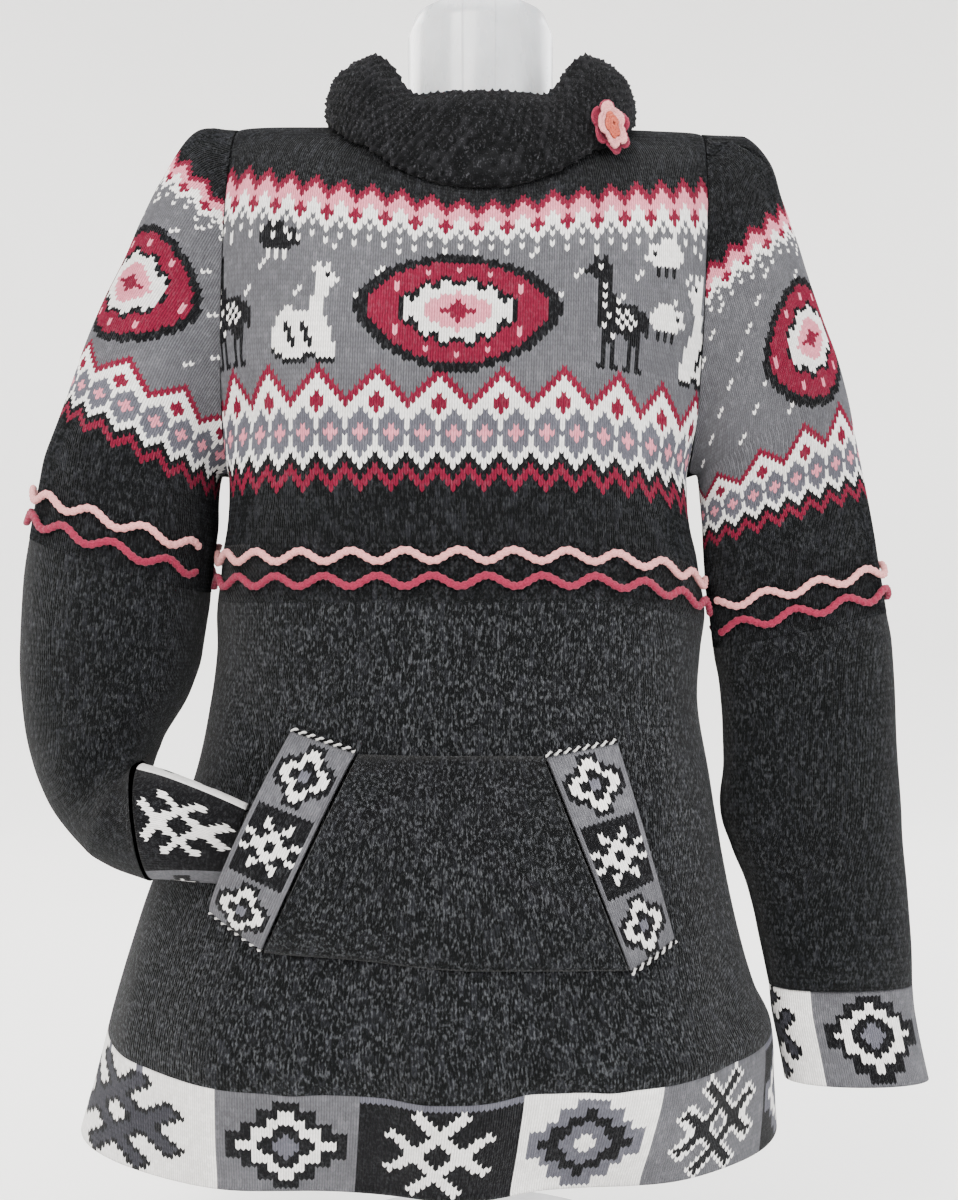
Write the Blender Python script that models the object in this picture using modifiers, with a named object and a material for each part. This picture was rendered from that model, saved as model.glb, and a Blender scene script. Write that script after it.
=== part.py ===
"""A knitted alpaca sweater on a limbless dress form.

The frame is +Z up with the front towards -Y and the viewer's right at +X. The origin is the centre
of the underside of the stand's base. Tables and shape functions work in millimetres, and every
mesh is written in metres.
"""

import math
from collections import namedtuple

import bmesh
import bpy
import numpy as np
from mathutils import Vector

MM = 0.001

# Cloth
WALL = 2.0
CUFF_WALL = 2.6
SEAM_GAP = 0.8
CREASE_GAP = 1.8
LIE_GAP = 0.5
ROUNDNESS = 2.35
ARMHOLE_ROUNDNESS = 2.2

# Levels on the body
ARMHOLE_FOOT_Z = 552.0
SHOULDER_LEFT_Z = 787.0
SHOULDER_RIGHT_Z = 784.0
SHOULDER_FROM_X = -161.0
SHOULDER_SPAN = 310.0
YOKE_SEAM_Z = 468.0
YOKE_SEAM_DROP_RIGHT = 18.0
YOKE_SEAM_DROPS_FROM = 0.25
BAND_TOP_SIDE_Z = 192.0
BAND_TOP_FRONT_Z = 183.0
HEM_SIDE_Z = 121.0
HEM_FRONT_Z = 115.0
BACK_EDGE_DROP = 3.0
ARMHOLE_HALF_DEPTH = 57.0
ARMHOLE_CENTRE_Y = -2.0

# Neckline, an ellipse seen from above
NECK_HALF_WIDTH = 75.0
NECK_FRONT_Y = 62.0
NECK_BACK_Y = 54.0
NECK_DROP_FRONT = 47.0
NECK_DROP_BACK = 20.0
ROUND_OVER_SHOULDER = 85.0
ROUND_OVER_NECK = 50.0
ROW_DIP_POWER = 2.5
NECK_READ_UP_TO = 0.9
LEAST_EDGE_REST = 0.2

BodyRow = namedtuple("BodyRow", "z left right front back")
BODY = [
    BodyRow(110, 268, 201, 115, 123),
    BodyRow(121, 266, 200, 118, 125),
    BodyRow(150, 257, 198, 133, 125),
    BodyRow(192, 246, 195, 149, 122),
    BodyRow(211, 241, 186, 148, 118),
    BodyRow(239, 233, 177, 141, 112),
    BodyRow(277, 220, 168, 132, 106),
    BodyRow(321, 203, 160, 124, 98),
    BodyRow(355, 190, 155, 118, 90),
    BodyRow(402, 180, 147, 111, 80),
    BodyRow(436, 176, 149, 108, 76),
    BodyRow(462, 176, 152, 109, 76),
    BodyRow(487, 173, 148, 108, 78),
    BodyRow(524, 168.5, 141, 110, 83),
    BodyRow(552, 167.2, 138.7, 112, 88),
    BodyRow(600, 166, 140.9, 113, 94),
    BodyRow(650, 164.7, 143.1, 112, 96),
    BodyRow(700, 163.4, 145.4, 106, 94),
    BodyRow(788, 161.2, 149.2, 98, 88),
]

# Soft swellings of the front: both bust points, and the flutes above the hem
Swelling = namedtuple("Swelling", "x z half_width half_height height")
FRONT_SWELLINGS = [
    Swelling(-95, 600, 38, 40, 11),
    Swelling(51, 600, 38, 40, 11),
    Swelling(-8, 150, 24, 80, 9),
    Swelling(-150, 160, 26, 70, 6),
    Swelling(110, 165, 24, 70, 6),
]
FLUTES = 9
FLUTE_HEIGHT = 3.0
FLUTE_TOP_Z = 360.0
FLUTE_PHASE = 0.6

# Sleeve sections: outer and inner edge seen from the front, centre and half depth along Y
Section = namedtuple("Section", "outer_x outer_z inner_x inner_z centre_y half_depth")
LEFT_SLEEVE = [
    Section(-162.0, 787, -168.0, 553, -2, 57),
    Section(-189.0, 786, -169.5, 553.5, -3, 60),
    Section(-209.0, 757, -170.8, 554, -4, 62),
    Section(-223.5, 728, -172.0, 554.5, -6, 64),
    Section(-234.0, 700, -173.0, 555, -8, 66),
    Section(-247.0, 672, -174.0, 555, -10, 67),
    Section(-257.5, 645, -175.0, 553, -12, 67),
    Section(-266.5, 618, -176.0, 547, -14, 68),
    Section(-276.0, 591, -176.5, 537, -16, 68),
    Section(-284.5, 564, -177.0, 521, -18, 68),
    Section(-290.0, 538, -178.5, 499, -20, 67),
    Section(-294.0, 511, -181.0, 475, -22, 66),
    Section(-297.5, 483, -182.5, 455, -24, 65),
    Section(-299.0, 443, -185.0, 432, -28, 64),
    Section(-297.0, 413, -189.5, 416, -33, 61),
    Section(-290.0, 376, -195.5, 400, -40, 57),
    Section(-274.0, 341, -203.5, 384, -50, 51),
    Section(-252.0, 318, -208.5, 374, -62, 45),
    Section(-229.0, 305, -211.0, 371, -76, 40),
    Section(-200.5, 298, -210.8, 370.5, -90, 36),
]
LEFT_SEAM = 11
LEFT_CUFF = [
    Section(-198.8, 299.3, -208.2, 369.2, -91.6, 33.2),
    Section(-185.0, 300, -190.0, 366, -100, 26),
    Section(-171.0, 300, -165.0, 358, -108, 17),
    Section(-150.0, 300, -138.0, 348, -116, 10),
]
RIGHT_SLEEVE = [
    Section(150.0, 784, 140.0, 553, -2, 57),
    Section(176.0, 783, 141.8, 553.5, -3, 57.5),
    Section(194.0, 765, 143.2, 554, -5, 57.5),
    Section(202.0, 740, 144.4, 554.5, -7, 57),
    Section(211.0, 713, 145.6, 555, -9, 56),
    Section(219.0, 686, 146.6, 555, -10, 54),
    Section(228.5, 659, 147.4, 554.5, -11, 51),
    Section(239.0, 632, 148.0, 553, -12, 47),
    Section(246.5, 605, 148.5, 548, -12, 43),
    Section(252.0, 578, 149.5, 534, -12, 38),
    Section(258.0, 551, 150.5, 515, -12, 34),
    Section(263.5, 524, 152.0, 492, -12, 32),
    Section(268.0, 495, 154.5, 467, -12, 30),
    Section(273.0, 462, 158.0, 438, -12, 29),
    Section(277.0, 440, 161.5, 419, -12, 28),
    Section(279.5, 412, 163.5, 394, -12, 27),
    Section(281.0, 375, 164.5, 360, -12, 26),
    Section(283.5, 335, 163.0, 327, -12, 26),
    Section(284.0, 308, 170.5, 304, -12, 25),
    Section(286.5, 281, 180.5, 279, -12, 25),
    Section(290.0, 241, 189.0, 240, -12, 24),
    Section(291.0, 213, 195.0, 212, -12, 22),
]
RIGHT_SEAM = 13
RIGHT_CUFF = [
    Section(291.2, 212.2, 195.2, 211.2, -12, 20),
    Section(293.0, 195, 197.0, 194, -12, 20),
    Section(297.5, 172, 201.5, 172, -12, 20),
    Section(302.5, 149, 206.0, 149, -12, 21),
]

# Sewn cords above the yoke seam and above the sleeve seams
CORD_HALF_WIDTH = 2.4
CORD_SIDES = 4
CORD_WAVE = 33.0
CORD_SWING = 3.3
CRIMSON_ABOVE_SEAM = 13.0
PINK_ABOVE_SEAM = 28.5
POINTS_PER_WAVE = 4
CORD_MEASURE_STEPS = 60
CORD_LINE_V = 0.05
CORD_RISE_V = 0.2
CORD_SIDE_STOP = 0.9
CORD_LIFT = 1.0
SLEEVE_CORD_LIFT = 0.8
SLEEVE_CORD_STOP = math.radians(155)

Cord = namedtuple("Cord", "shade above_seam phase")
CORDS = [
    Cord("pink", PINK_ABOVE_SEAM, 0.0),
    Cord("crimson", CRIMSON_ABOVE_SEAM, math.pi),
]

# Folded collar
COLLAR_RIBS = 38
RIB_HEIGHT = 1.3
COLLAR_CENTRE_X = 1.0
COLLAR_LAYER = 3.0
COLLAR_LIFT = 5.0
FOLD_HALF_WIDTH = 93.0
FOLD_FRONT_Y = 71.0
FOLD_BACK_Y = 62.0
FOLD_FRONT_Z = 792.0
FOLD_PEAK_Z = 824.0
FOLD_BACK_Z = 818.0
SKIRT_HALF_WIDTH = 102.0
SKIRT_FRONT_Y = 96.0
SKIRT_BACK_Y = 78.0
SKIRT_FRONT_ROUNDNESS = 3.0
COLLAR_BELLY = 3.0
COLLAR_NECK_LIFT = 3.0
BELLY_LOW = 0.4
BELLY_HIGH = 0.8
FOLD_INSIDE_DROP = 9.0
FOLD_OUTER_DROP = 1.5
FOLD_INNER_DROP = 4.0
FOLD_CREST_IN = 3.5
FOLD_INNER_IN = 8.0
FOLD_LAYER_EXTRA = 0.6
FOLD_RISE_FROM = 0.44
FOLD_RISE_TO = 0.78
YOKE_TOP_LEVEL = 715.0
YOKE_TOP_WIDER = 1.08

# Kangaroo pouch and its two bands, corners seen from the front
POUCH_TOP = (-72.0, 377.0, 38.0, 376.0)
POUCH_BOTTOM = (-126.0, 262.0, 88.0, 250.0)
POUCH_BULGE = 13.0
CUFF_BULGE = 33.0
BAND_LEFT = ((-113.0, 391.0), (-73.5, 379.0), (-127.5, 263.0), (-161.0, 281.0))
BAND_RIGHT = ((39.5, 377.0), (83.0, 384.0), (117.0, 264.0), (89.5, 249.0))
BAND_BULGE_LEFT = 46.0
BAND_BULGE_RIGHT = 12.0
BULGE_POWER = 0.6
BAND_BULGE_LEAN = 1.3
BAND_FAR_SHARE = 0.72
CUFF_BULGE_REACH = 0.55

# Flower sewn to the collar
FLOWER_TURN = 43.0
FLOWER_LIFT = 0.6
FLOWER_Z = 763.0
FLOWER_OUTER = (14.0, 19.5, 2.6)
FLOWER_INNER = (10.0, 16.0, 1.6)
FLOWER_CENTRE = (4.5, 8.5, 1.8)
FLOWER_SEGMENTS = (14, 7)
FLOWER_TURN_STEP = 0.05

# Dress form
FORM_REST_GAP = 0.7
FormRow = namedtuple("FormRow", "z centre half_width front back roundness")
FORM = [
    FormRow(245, -18, 136, 84, 80, 2.3),
    FormRow(252, -18, 143, 89, 85, 2.3),
    FormRow(290, -18, 148, 93, 88, 2.3),
    FormRow(330, -18, 145, 92, 82, 2.3),
    FormRow(395, -17, 130, 86, 70, 2.3),
    FormRow(455, -15, 118, 82, 62, 2.3),
    FormRow(515, -14, 126, 90, 68, 2.3),
    FormRow(560, -14, 140, 99, 78, 2.35),
    FormRow(660, -11, 140, 98, 84, 2.35),
    FormRow(700, -8, 146, 80, 76, 2.2),
    FormRow(722, -7, 145, 65, 66, 2.0),
    FormRow(742, -6, 141, 53, 54, 1.65),
    FormRow(760, -5, 130, 50.5, 50.5, 1.35),
    FormRow(772, -3, 108, 50, 50, 1.22),
    FormRow(779, 0, 86, 50, 50, 1.35),
    FormRow(784, 1, 56, 49.5, 49.5, 1.9),
    FormRow(795, 1, 49.5, 49.5, 49.5, 2.0),
    FormRow(850, 1, 49.5, 49.5, 49.5, 2.0),
    FormRow(863, 1, 45, 45, 45, 2.0),
    FormRow(870, 1, 34, 34, 34, 2.0),
    FormRow(872, 1, 18, 18, 18, 2.0),
]
CHEST_FROM_Z = 530.0
CHEST_FULL_Z = 570.0
CHEST_TO_Z = 640.0
CHEST_END_Z = 690.0
CHEST_ROWS_Z = (580, 600, 620, 640, 680)
CHEST_SIDE_GAP = 1.0

# Hook and stand
HOOK_WIRE = 1.5
HOOK_SHANK = 26.0
HOOK_RADIUS = 19.0
HOOK_CENTRE_ABOVE_SHANK = 6.0
HOOK_TURNS = range(180, -61, -20)
HOOK_SIDES = 6
POLE_RADIUS = 12.5
BASE_RADIUS = 135.0
BASE_HEIGHT = 12.0
BASE_EDGE = 2.5
BASE_EDGE_SEGMENTS = 2
STAND_SEGMENTS = 48
SHARP_ANGLE = math.radians(40)
TOUCH = 0.3

Finish = namedtuple("Finish", "name colour roughness metallic")
FINISHES = {
    "heather": Finish("dark_heather", (0.022, 0.022, 0.027), 0.95, 0.0),
    "grey": Finish("grey_marl", (0.19, 0.19, 0.2), 0.95, 0.0),
    "pink": Finish("pink_yarn", (0.72, 0.42, 0.4), 0.95, 0.0),
    "crimson": Finish("crimson_yarn", (0.4, 0.045, 0.085), 0.95, 0.0),
    "coral": Finish("coral_yarn", (0.6, 0.18, 0.1), 0.95, 0.0),
    "plastic": Finish("form_plastic", (0.58, 0.58, 0.58), 0.25, 0.0),
    "steel": Finish("stand_steel", (0.5, 0.5, 0.52), 0.3, 1.0),
}

# Grid steps
YOKE_STEPS = (22, 14)
BACK_YOKE_STEPS = (16, 10)
SKIRT_STEPS = (24, 10)
BACK_SKIRT_STEPS = (18, 8)
HEM_ROWS = 3
PLAIN_ROWS = 0.57
PLAIN_RISE = 0.72
ROUNDING_POWER = 2.2
SLEEVE_STEPS = 18
CUFF_STEPS = 16
POUCH_STEPS = (12, 8)
BAND_STEPS = (3, 8)
FORM_STEPS = 36

FRONT = -1
BACK = 1


def through(knots, values, at):
    """A smooth curve through the knots, read at one place."""
    last = len(knots) - 1
    if at <= knots[0]:
        return values[0]
    if at >= knots[last]:
        return values[last]
    i = int(np.searchsorted(knots, at)) - 1
    i = max(0, min(last - 1, i))

    def slope(k):
        low, high = max(0, k - 1), min(last, k + 1)
        return (values[high] - values[low]) / (knots[high] - knots[low])

    step = knots[i + 1] - knots[i]
    t = (at - knots[i]) / step
    start, end = values[i], values[i + 1]
    return (
        start * (1 + 2 * t) * (1 - t) ** 2
        + slope(i) * step * t * (1 - t) ** 2
        + end * t * t * (3 - 2 * t)
        + slope(i + 1) * step * t * t * (t - 1)
    )


def column(rows, name):
    return [getattr(row, name) for row in rows]


def read(rows, name, at):
    return through(column(rows, "z"), column(rows, name), at)


def ease(low, high, at):
    """0 up to low, 1 from high, and smooth between."""
    t = max(0.0, min(1.0, (at - low) / (high - low)))
    return t * t * (3 - 2 * t)


def signed_power(value, power):
    return math.copysign(abs(value) ** power, value)


def superellipse_rest(share, power):
    """What is left of the second half axis where the first has used up a share of its own."""
    return max(0.0, 1 - min(1.0, abs(share)) ** power) ** (1 / power)


# The body's surface


def shoulder_z(x):
    share = (x - SHOULDER_FROM_X) / SHOULDER_SPAN
    return SHOULDER_LEFT_Z + (SHOULDER_RIGHT_Z - SHOULDER_LEFT_Z) * share


def armhole_depth(z, top):
    """How far the armhole's edge lies from its middle, at a height."""
    middle, half = (top + ARMHOLE_FOOT_Z) / 2, (top - ARMHOLE_FOOT_Z) / 2
    if z <= ARMHOLE_FOOT_Z:
        return 0.0
    return ARMHOLE_HALF_DEPTH * superellipse_rest((z - middle) / half, ARMHOLE_ROUNDNESS)


def swelling(face, x, z, share):
    """How far the cloth stands out from the plain ring, none of it at the side seams."""
    out = 0.0
    if face == FRONT:
        for s in FRONT_SWELLINGS:
            across, up = (x - s.x) / s.half_width, (z - s.z) / s.half_height
            out += s.height * math.exp(-0.5 * (across * across + up * up))
    fade = 1 - ease(HEM_SIDE_Z, FLUTE_TOP_Z, z)
    out += fade * FLUTE_HEIGHT * math.cos(FLUTES * share + FLUTE_PHASE * face)
    return out * (1 - share**4)


def body_point(face, u, z, top=None):
    """A point on the body at a height; u runs from -1 at the left edge to 1 at the right edge."""
    left, right = read(BODY, "left", z), read(BODY, "right", z)
    depth = read(BODY, "front" if face == FRONT else "back", z)
    centre, reach = (right - left) / 2, (right + left) / 2
    if top is None:
        top = SHOULDER_LEFT_Z if u < 0 else SHOULDER_RIGHT_Z
    edge = armhole_depth(z, top)
    edge += face * ARMHOLE_CENTRE_Y * edge / ARMHOLE_HALF_DEPTH
    wide = reach / max(LEAST_EDGE_REST, superellipse_rest(edge / depth, ROUNDNESS))
    turn_at_edge = math.asin(min(1.0, (reach / wide) ** (ROUNDNESS / 2)))
    turn = u * turn_at_edge
    x = centre + wide * signed_power(math.sin(turn), 2 / ROUNDNESS)
    plain = depth * abs(math.cos(turn)) ** (2 / ROUNDNESS)
    share = max(-1.0, min(1.0, (x - centre) / reach))
    return x, plain + swelling(face, x, z, share), edge, share


def neck_share(x):
    return max(0.0, 1 - (x / NECK_HALF_WIDTH) ** 2)


def yoke_seam_z(u):
    return YOKE_SEAM_Z - YOKE_SEAM_DROP_RIGHT * ease(YOKE_SEAM_DROPS_FROM, 1.0, u)


def yoke_point(face, u, v):
    """A point on a yoke; v runs from 0 at its seam to 1 at the neckline or shoulder."""
    foot = yoke_seam_z(u) + SEAM_GAP / 2
    drop = NECK_DROP_FRONT if face == FRONT else NECK_DROP_BACK
    neck_y = NECK_FRONT_Y if face == FRONT else NECK_BACK_Y
    plain_x = body_point(face, u, foot + (SHOULDER_RIGHT_Z - foot) * min(v, NECK_READ_UP_TO))[0]
    neck = neck_share(plain_x)
    z = foot + (shoulder_z(plain_x) - foot) * v - drop * neck * v**ROW_DIP_POWER
    x, plain, edge, share = body_point(face, u, z, shoulder_z(plain_x))
    top = shoulder_z(plain_x) - drop * neck
    tall = ROUND_OVER_SHOULDER + (ROUND_OVER_NECK - ROUND_OVER_SHOULDER) * neck
    rise = max(0.0, min(1.0, (z - top + tall) / tall))
    kept = neck_y * math.sqrt(neck) + edge * abs(share) ** 3
    y = kept + (plain - kept) * math.sqrt(1 - rise * rise)
    return np.array([x, face * max(y, SEAM_GAP / 2), z])


def front_y(x, z):
    """The skirt's front surface under a point seen from the front."""
    left, right = read(BODY, "left", z), read(BODY, "right", z)
    centre, reach = (right - left) / 2, (right + left) / 2
    share = max(-1.0, min(1.0, (x - centre) / reach))
    depth = read(BODY, "front", z) * superellipse_rest(share, ROUNDNESS)
    return -(depth + swelling(FRONT, x, z, share))


def skirt_point(face, u, z):
    x, out, _, _ = body_point(face, u, z)
    return np.array([x, face * max(out, SEAM_GAP / 2), z])


def band_top_z(face, u):
    middle = BAND_TOP_FRONT_Z if face == FRONT else BAND_TOP_SIDE_Z - BACK_EDGE_DROP
    return middle + (BAND_TOP_SIDE_Z - middle) * u * u


def hem_z(face, u):
    middle = HEM_FRONT_Z if face == FRONT else HEM_SIDE_Z - BACK_EDGE_DROP
    return middle + (HEM_SIDE_Z - middle) * u * u


def outward(point_at, a, b, step=0.01):
    """The unit normal of a surface, away from the body's inside."""
    across = point_at(a + step, b) - point_at(a - step, b)
    along = point_at(a, b + step) - point_at(a, b - step)
    normal = np.cross(across, along)
    return normal / np.linalg.norm(normal)


# Meshes and objects


def material(name, colour, roughness, metallic):
    made = bpy.data.materials.new(name)
    made.use_nodes = True
    shader = made.node_tree.nodes["Principled BSDF"]
    shader.inputs["Base Color"].default_value = (*colour, 1)
    shader.inputs["Roughness"].default_value = roughness
    shader.inputs["Metallic"].default_value = metallic
    return made


def add_object(name, mesh, finish, collection):
    thing = bpy.data.objects.new(name, mesh)
    thing.data.materials.append(finish)
    collection.objects.link(thing)
    return thing


def mesh_from(name, points, faces):
    mesh = bpy.data.meshes.new(name)
    mesh.from_pydata([tuple(np.asarray(p) * MM) for p in points], [], faces)
    mesh.update()
    mesh.shade_smooth()
    return mesh


def grid_faces(rows, columns, ring):
    """Quads between neighbouring rows, which close round if it is a ring."""
    faces = []
    for r in range(rows - 1):
        for c in range(columns if ring else columns - 1):
            n = (c + 1) % columns
            faces.append((r * columns + c, r * columns + n, (r + 1) * columns + n, (r + 1) * columns + c))
    return faces


def cloth(name, grid, finish, collection, ring=False, wall=WALL):
    """A wall grown inwards from its outer surface. Rows run upwards and columns to the right."""
    rows, columns = len(grid), len(grid[0])
    points = [p for row in grid for p in row]
    thing = add_object(name, mesh_from(name, points, grid_faces(rows, columns, ring)), finish, collection)
    shell = thing.modifiers.new("wall", "SOLIDIFY")
    shell.thickness = wall * MM
    shell.offset = -1
    shell.use_even_offset = False
    return thing


def sweep(name, section_rings, finish, collection):
    """A closed solid ring: each section is a closed polygon, and the sections close round."""
    turns, corners = len(section_rings), len(section_rings[0])
    points = [p for ring in section_rings for p in ring]
    faces = []
    for t in range(turns):
        n = (t + 1) % turns
        for c in range(corners):
            d = (c + 1) % corners
            faces.append((t * corners + c, n * corners + c, n * corners + d, t * corners + d))
    return add_object(name, mesh_from(name, points, faces), finish, collection)


def tube(name, route, radius, finish, collection, sides=CORD_SIDES):
    """A round cord through its points, made a mesh with welded caps."""
    curve = bpy.data.curves.new(name, "CURVE")
    curve.dimensions = "3D"
    curve.bevel_depth = radius * MM
    curve.bevel_resolution = (sides - 4) // 2
    curve.use_fill_caps = True
    spline = curve.splines.new("POLY")
    spline.points.add(len(route) - 1)
    for spot, place in zip(spline.points, route):
        spot.co = (*(np.asarray(place) * MM), 1)
    drawn = bpy.data.objects.new(name + "_route", curve)
    collection.objects.link(drawn)
    bpy.context.view_layer.update()
    mesh = bpy.data.meshes.new_from_object(drawn.evaluated_get(bpy.context.evaluated_depsgraph_get()))
    bpy.data.objects.remove(drawn)
    work = bmesh.new()
    work.from_mesh(mesh)
    bmesh.ops.remove_doubles(work, verts=work.verts, dist=0.00001)
    bmesh.ops.recalc_face_normals(work, faces=work.faces)
    work.to_mesh(mesh)
    work.free()
    mesh.materials.clear()
    return add_object(name, mesh, finish, collection)


# The sweater's pieces


def spread(count, low=0.0, high=1.0):
    return np.linspace(low, high, count + 1)


def towards_top(t):
    """Rows come closer together where a yoke rounds over to the shoulder, which it meets level."""
    if t <= PLAIN_ROWS:
        return PLAIN_RISE * t / PLAIN_ROWS
    rest = (t - PLAIN_ROWS) / (1 - PLAIN_ROWS)
    return PLAIN_RISE + (1 - PLAIN_RISE) * (1 - (1 - rest) ** ROUNDING_POWER)


def build_yokes(collection, finishes):
    for name, face, (across, up) in (
        ("front_yoke", FRONT, YOKE_STEPS),
        ("back_yoke", BACK, BACK_YOKE_STEPS),
    ):
        grid = [
            [yoke_point(face, -face * u, towards_top(t)) for u in spread(across, -1, 1)] for t in spread(up)
        ]
        cloth(name, grid, finishes["heather"], collection)


def build_skirts(collection, finishes):
    for name, face, (across, up) in (
        ("front_skirt", FRONT, SKIRT_STEPS),
        ("back_skirt", BACK, BACK_SKIRT_STEPS),
    ):
        grid = []
        for t in spread(up):
            row = []
            for u in spread(across, -1, 1):
                low = band_top_z(face, u) + CREASE_GAP
                high = yoke_seam_z(-face * u) - SEAM_GAP / 2
                row.append(skirt_point(face, -face * u, low + (high - low) * t))
            grid.append(row)
        cloth(name, grid, finishes["heather"], collection)
    for name, face, across in (
        ("hem_band_front", FRONT, SKIRT_STEPS[0]),
        ("hem_band_back", BACK, BACK_SKIRT_STEPS[0]),
    ):
        grid = []
        for t in spread(HEM_ROWS):
            row = []
            for u in spread(across, -1, 1):
                low, high = hem_z(face, u), band_top_z(face, u)
                row.append(skirt_point(face, -face * u, low + (high - low) * t))
            grid.append(row)
        cloth(name, grid, finishes["grey"], collection, wall=CUFF_WALL)


def section_point(section, turn, out=0.0):
    """A point of a sleeve's section; turn 0 is its outer edge and a quarter turn its front."""
    outer = np.array([section.outer_x, section.centre_y, section.outer_z], float)
    inner = np.array([section.inner_x, section.centre_y, section.inner_z], float)
    half = (outer - inner) / 2
    grown = half * (1 + out / np.linalg.norm(half))
    depth = section.half_depth + out
    across = signed_power(math.cos(turn), 2 / ARMHOLE_ROUNDNESS)
    forward = signed_power(math.sin(turn), 2 / ARMHOLE_ROUNDNESS)
    return (outer + inner) / 2 + grown * across + np.array([0, -depth * forward, 0])


def shifted(section, other, gap):
    """The section moved towards another one by a gap, measured between their middles."""
    here, there = np.array(section, float), np.array(other, float)
    step = there - here
    middle_step = np.array([step[0] + step[2], step[1] + step[3]]) / 2
    return Section(*(here + step * gap / np.linalg.norm(middle_step)))


def sleeve_grid(sections, side, steps):
    """Rings from the sleeve's end up to its head, with columns to the right as seen from outside."""
    turns = [side * 2 * math.pi * k / steps for k in range(steps)]
    return [[section_point(section, turn) for turn in turns] for section in reversed(sections)]


def build_sleeves(collection, finishes):
    for word, side, sections, seam, cuff in (
        ("left", 1, LEFT_SLEEVE, LEFT_SEAM, LEFT_CUFF),
        ("right", -1, RIGHT_SLEEVE, RIGHT_SEAM, RIGHT_CUFF),
    ):
        upper = sections[:seam] + [shifted(sections[seam], sections[seam - 1], SEAM_GAP / 2)]
        lower = [shifted(sections[seam], sections[seam + 1], SEAM_GAP / 2)] + sections[seam + 1 :]
        grid = sleeve_grid(upper, side, SLEEVE_STEPS)
        cloth(f"{word}_sleeve_upper", grid, finishes["heather"], collection, True)
        grid = sleeve_grid(lower, side, SLEEVE_STEPS)
        cloth(f"{word}_sleeve_lower", grid, finishes["grey"], collection, True)
        grid = sleeve_grid(cuff, side, CUFF_STEPS)
        cloth(f"{word}_cuff", grid, finishes["grey"], collection, True, CUFF_WALL)


def wave(length_along, phase):
    return CORD_SWING * math.cos(2 * math.pi * length_along / CORD_WAVE + phase)


def yoke_v_at(face, u, height):
    """The v of a yoke that lies a height above its seam."""
    foot = yoke_point(face, u, 0.0)[2]
    return height / (yoke_point(face, u, CORD_RISE_V)[2] - foot) * CORD_RISE_V


def build_body_cords(collection, finishes):
    out = CORD_HALF_WIDTH + CORD_LIFT
    for face, word in ((FRONT, "front"), (BACK, "back")):
        line = [
            yoke_point(face, u, CORD_LINE_V)
            for u in spread(CORD_MEASURE_STEPS, -CORD_SIDE_STOP, CORD_SIDE_STOP)
        ]
        along = sum(np.linalg.norm(b - a) for a, b in zip(line, line[1:]))
        count = round(along / CORD_WAVE * POINTS_PER_WAVE)
        for shade, level, phase in CORDS:
            route = []
            for k, u in enumerate(spread(count, -CORD_SIDE_STOP, CORD_SIDE_STOP)):
                height = level + wave(along * k / count, phase)
                v = yoke_v_at(face, u, height)
                place = yoke_point(face, u, v)
                normal = outward(lambda a, b: yoke_point(face, a, b), u, v)
                route.append(place + normal * out * (1 if normal[1] * face > 0 else -1))
            tube(f"cord_{shade}_{word}", route, CORD_HALF_WIDTH, finishes[shade], collection)


def between(first, second, share):
    return Section(*(np.array(first, float) * (1 - share) + np.array(second, float) * share))


def section_up(sections, seam, turn, height):
    """The section that lies a height above the seam, measured at one turn."""
    left, place = height, section_point(sections[seam], turn)
    for k in range(seam, 0, -1):
        above = section_point(sections[k - 1], turn)
        step = np.linalg.norm(above - place)
        if step >= left:
            return between(sections[k], sections[k - 1], left / step)
        left, place = left - step, above
    return sections[0]


def build_sleeve_cords(collection, finishes):
    out = CORD_HALF_WIDTH + SLEEVE_CORD_LIFT
    for word, side, sections, seam in (
        ("left", 1, LEFT_SLEEVE, LEFT_SEAM),
        ("right", -1, RIGHT_SLEEVE, RIGHT_SEAM),
    ):
        stop = SLEEVE_CORD_STOP
        ring = [section_point(sections[seam], turn) for turn in spread(CORD_MEASURE_STEPS, -stop, stop)]
        along = sum(np.linalg.norm(b - a) for a, b in zip(ring, ring[1:]))
        count = round(along / CORD_WAVE * POINTS_PER_WAVE)
        for shade, level, phase in CORDS:
            route = []
            for k, turn in enumerate(spread(count, -stop, stop)):
                height = level + wave(along * k / count, phase)
                section = section_up(sections, seam, turn, height)
                route.append(section_point(section, turn * side, out))
            tube(f"cord_{shade}_{word}_sleeve", route, CORD_HALF_WIDTH, finishes[shade], collection)


def plan_point(turn, half_width, front, back, centre=COLLAR_CENTRE_X, roundness=2.0):
    """A point of an oval seen from above; turn 0 is its front and a quarter turn its right side."""
    at_front = math.cos(turn) > 0
    deep, power = (front, 2 / roundness) if at_front else (back, 1.0)
    across, forward = signed_power(math.sin(turn), power), signed_power(math.cos(turn), power)
    return np.array([centre + half_width * across, -deep * forward])


def cloth_top_z(x, y):
    """The height of the yokes under a point seen from above, near the neck."""
    face = FRONT if y < 0 else BACK
    drop = NECK_DROP_FRONT if face == FRONT else NECK_DROP_BACK
    neck_y = NECK_FRONT_Y if face == FRONT else NECK_BACK_Y
    neck = neck_share(x)
    top = shoulder_z(x) - drop * neck
    tall = ROUND_OVER_SHOULDER + (ROUND_OVER_NECK - ROUND_OVER_SHOULDER) * neck
    centre_depth = read(BODY, "front" if face == FRONT else "back", YOKE_TOP_LEVEL)
    reach = (read(BODY, "right", YOKE_TOP_LEVEL) + read(BODY, "left", YOKE_TOP_LEVEL)) / 2
    plain = centre_depth * superellipse_rest(x / (reach * YOKE_TOP_WIDER), ROUNDNESS)
    inner = neck_y * math.sqrt(neck)
    share = max(0.0, min(1.0, (abs(y) - inner) / (plain - inner)))
    return top - tall * (1 - math.sqrt(max(0.0, 1 - share * share)))


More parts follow.
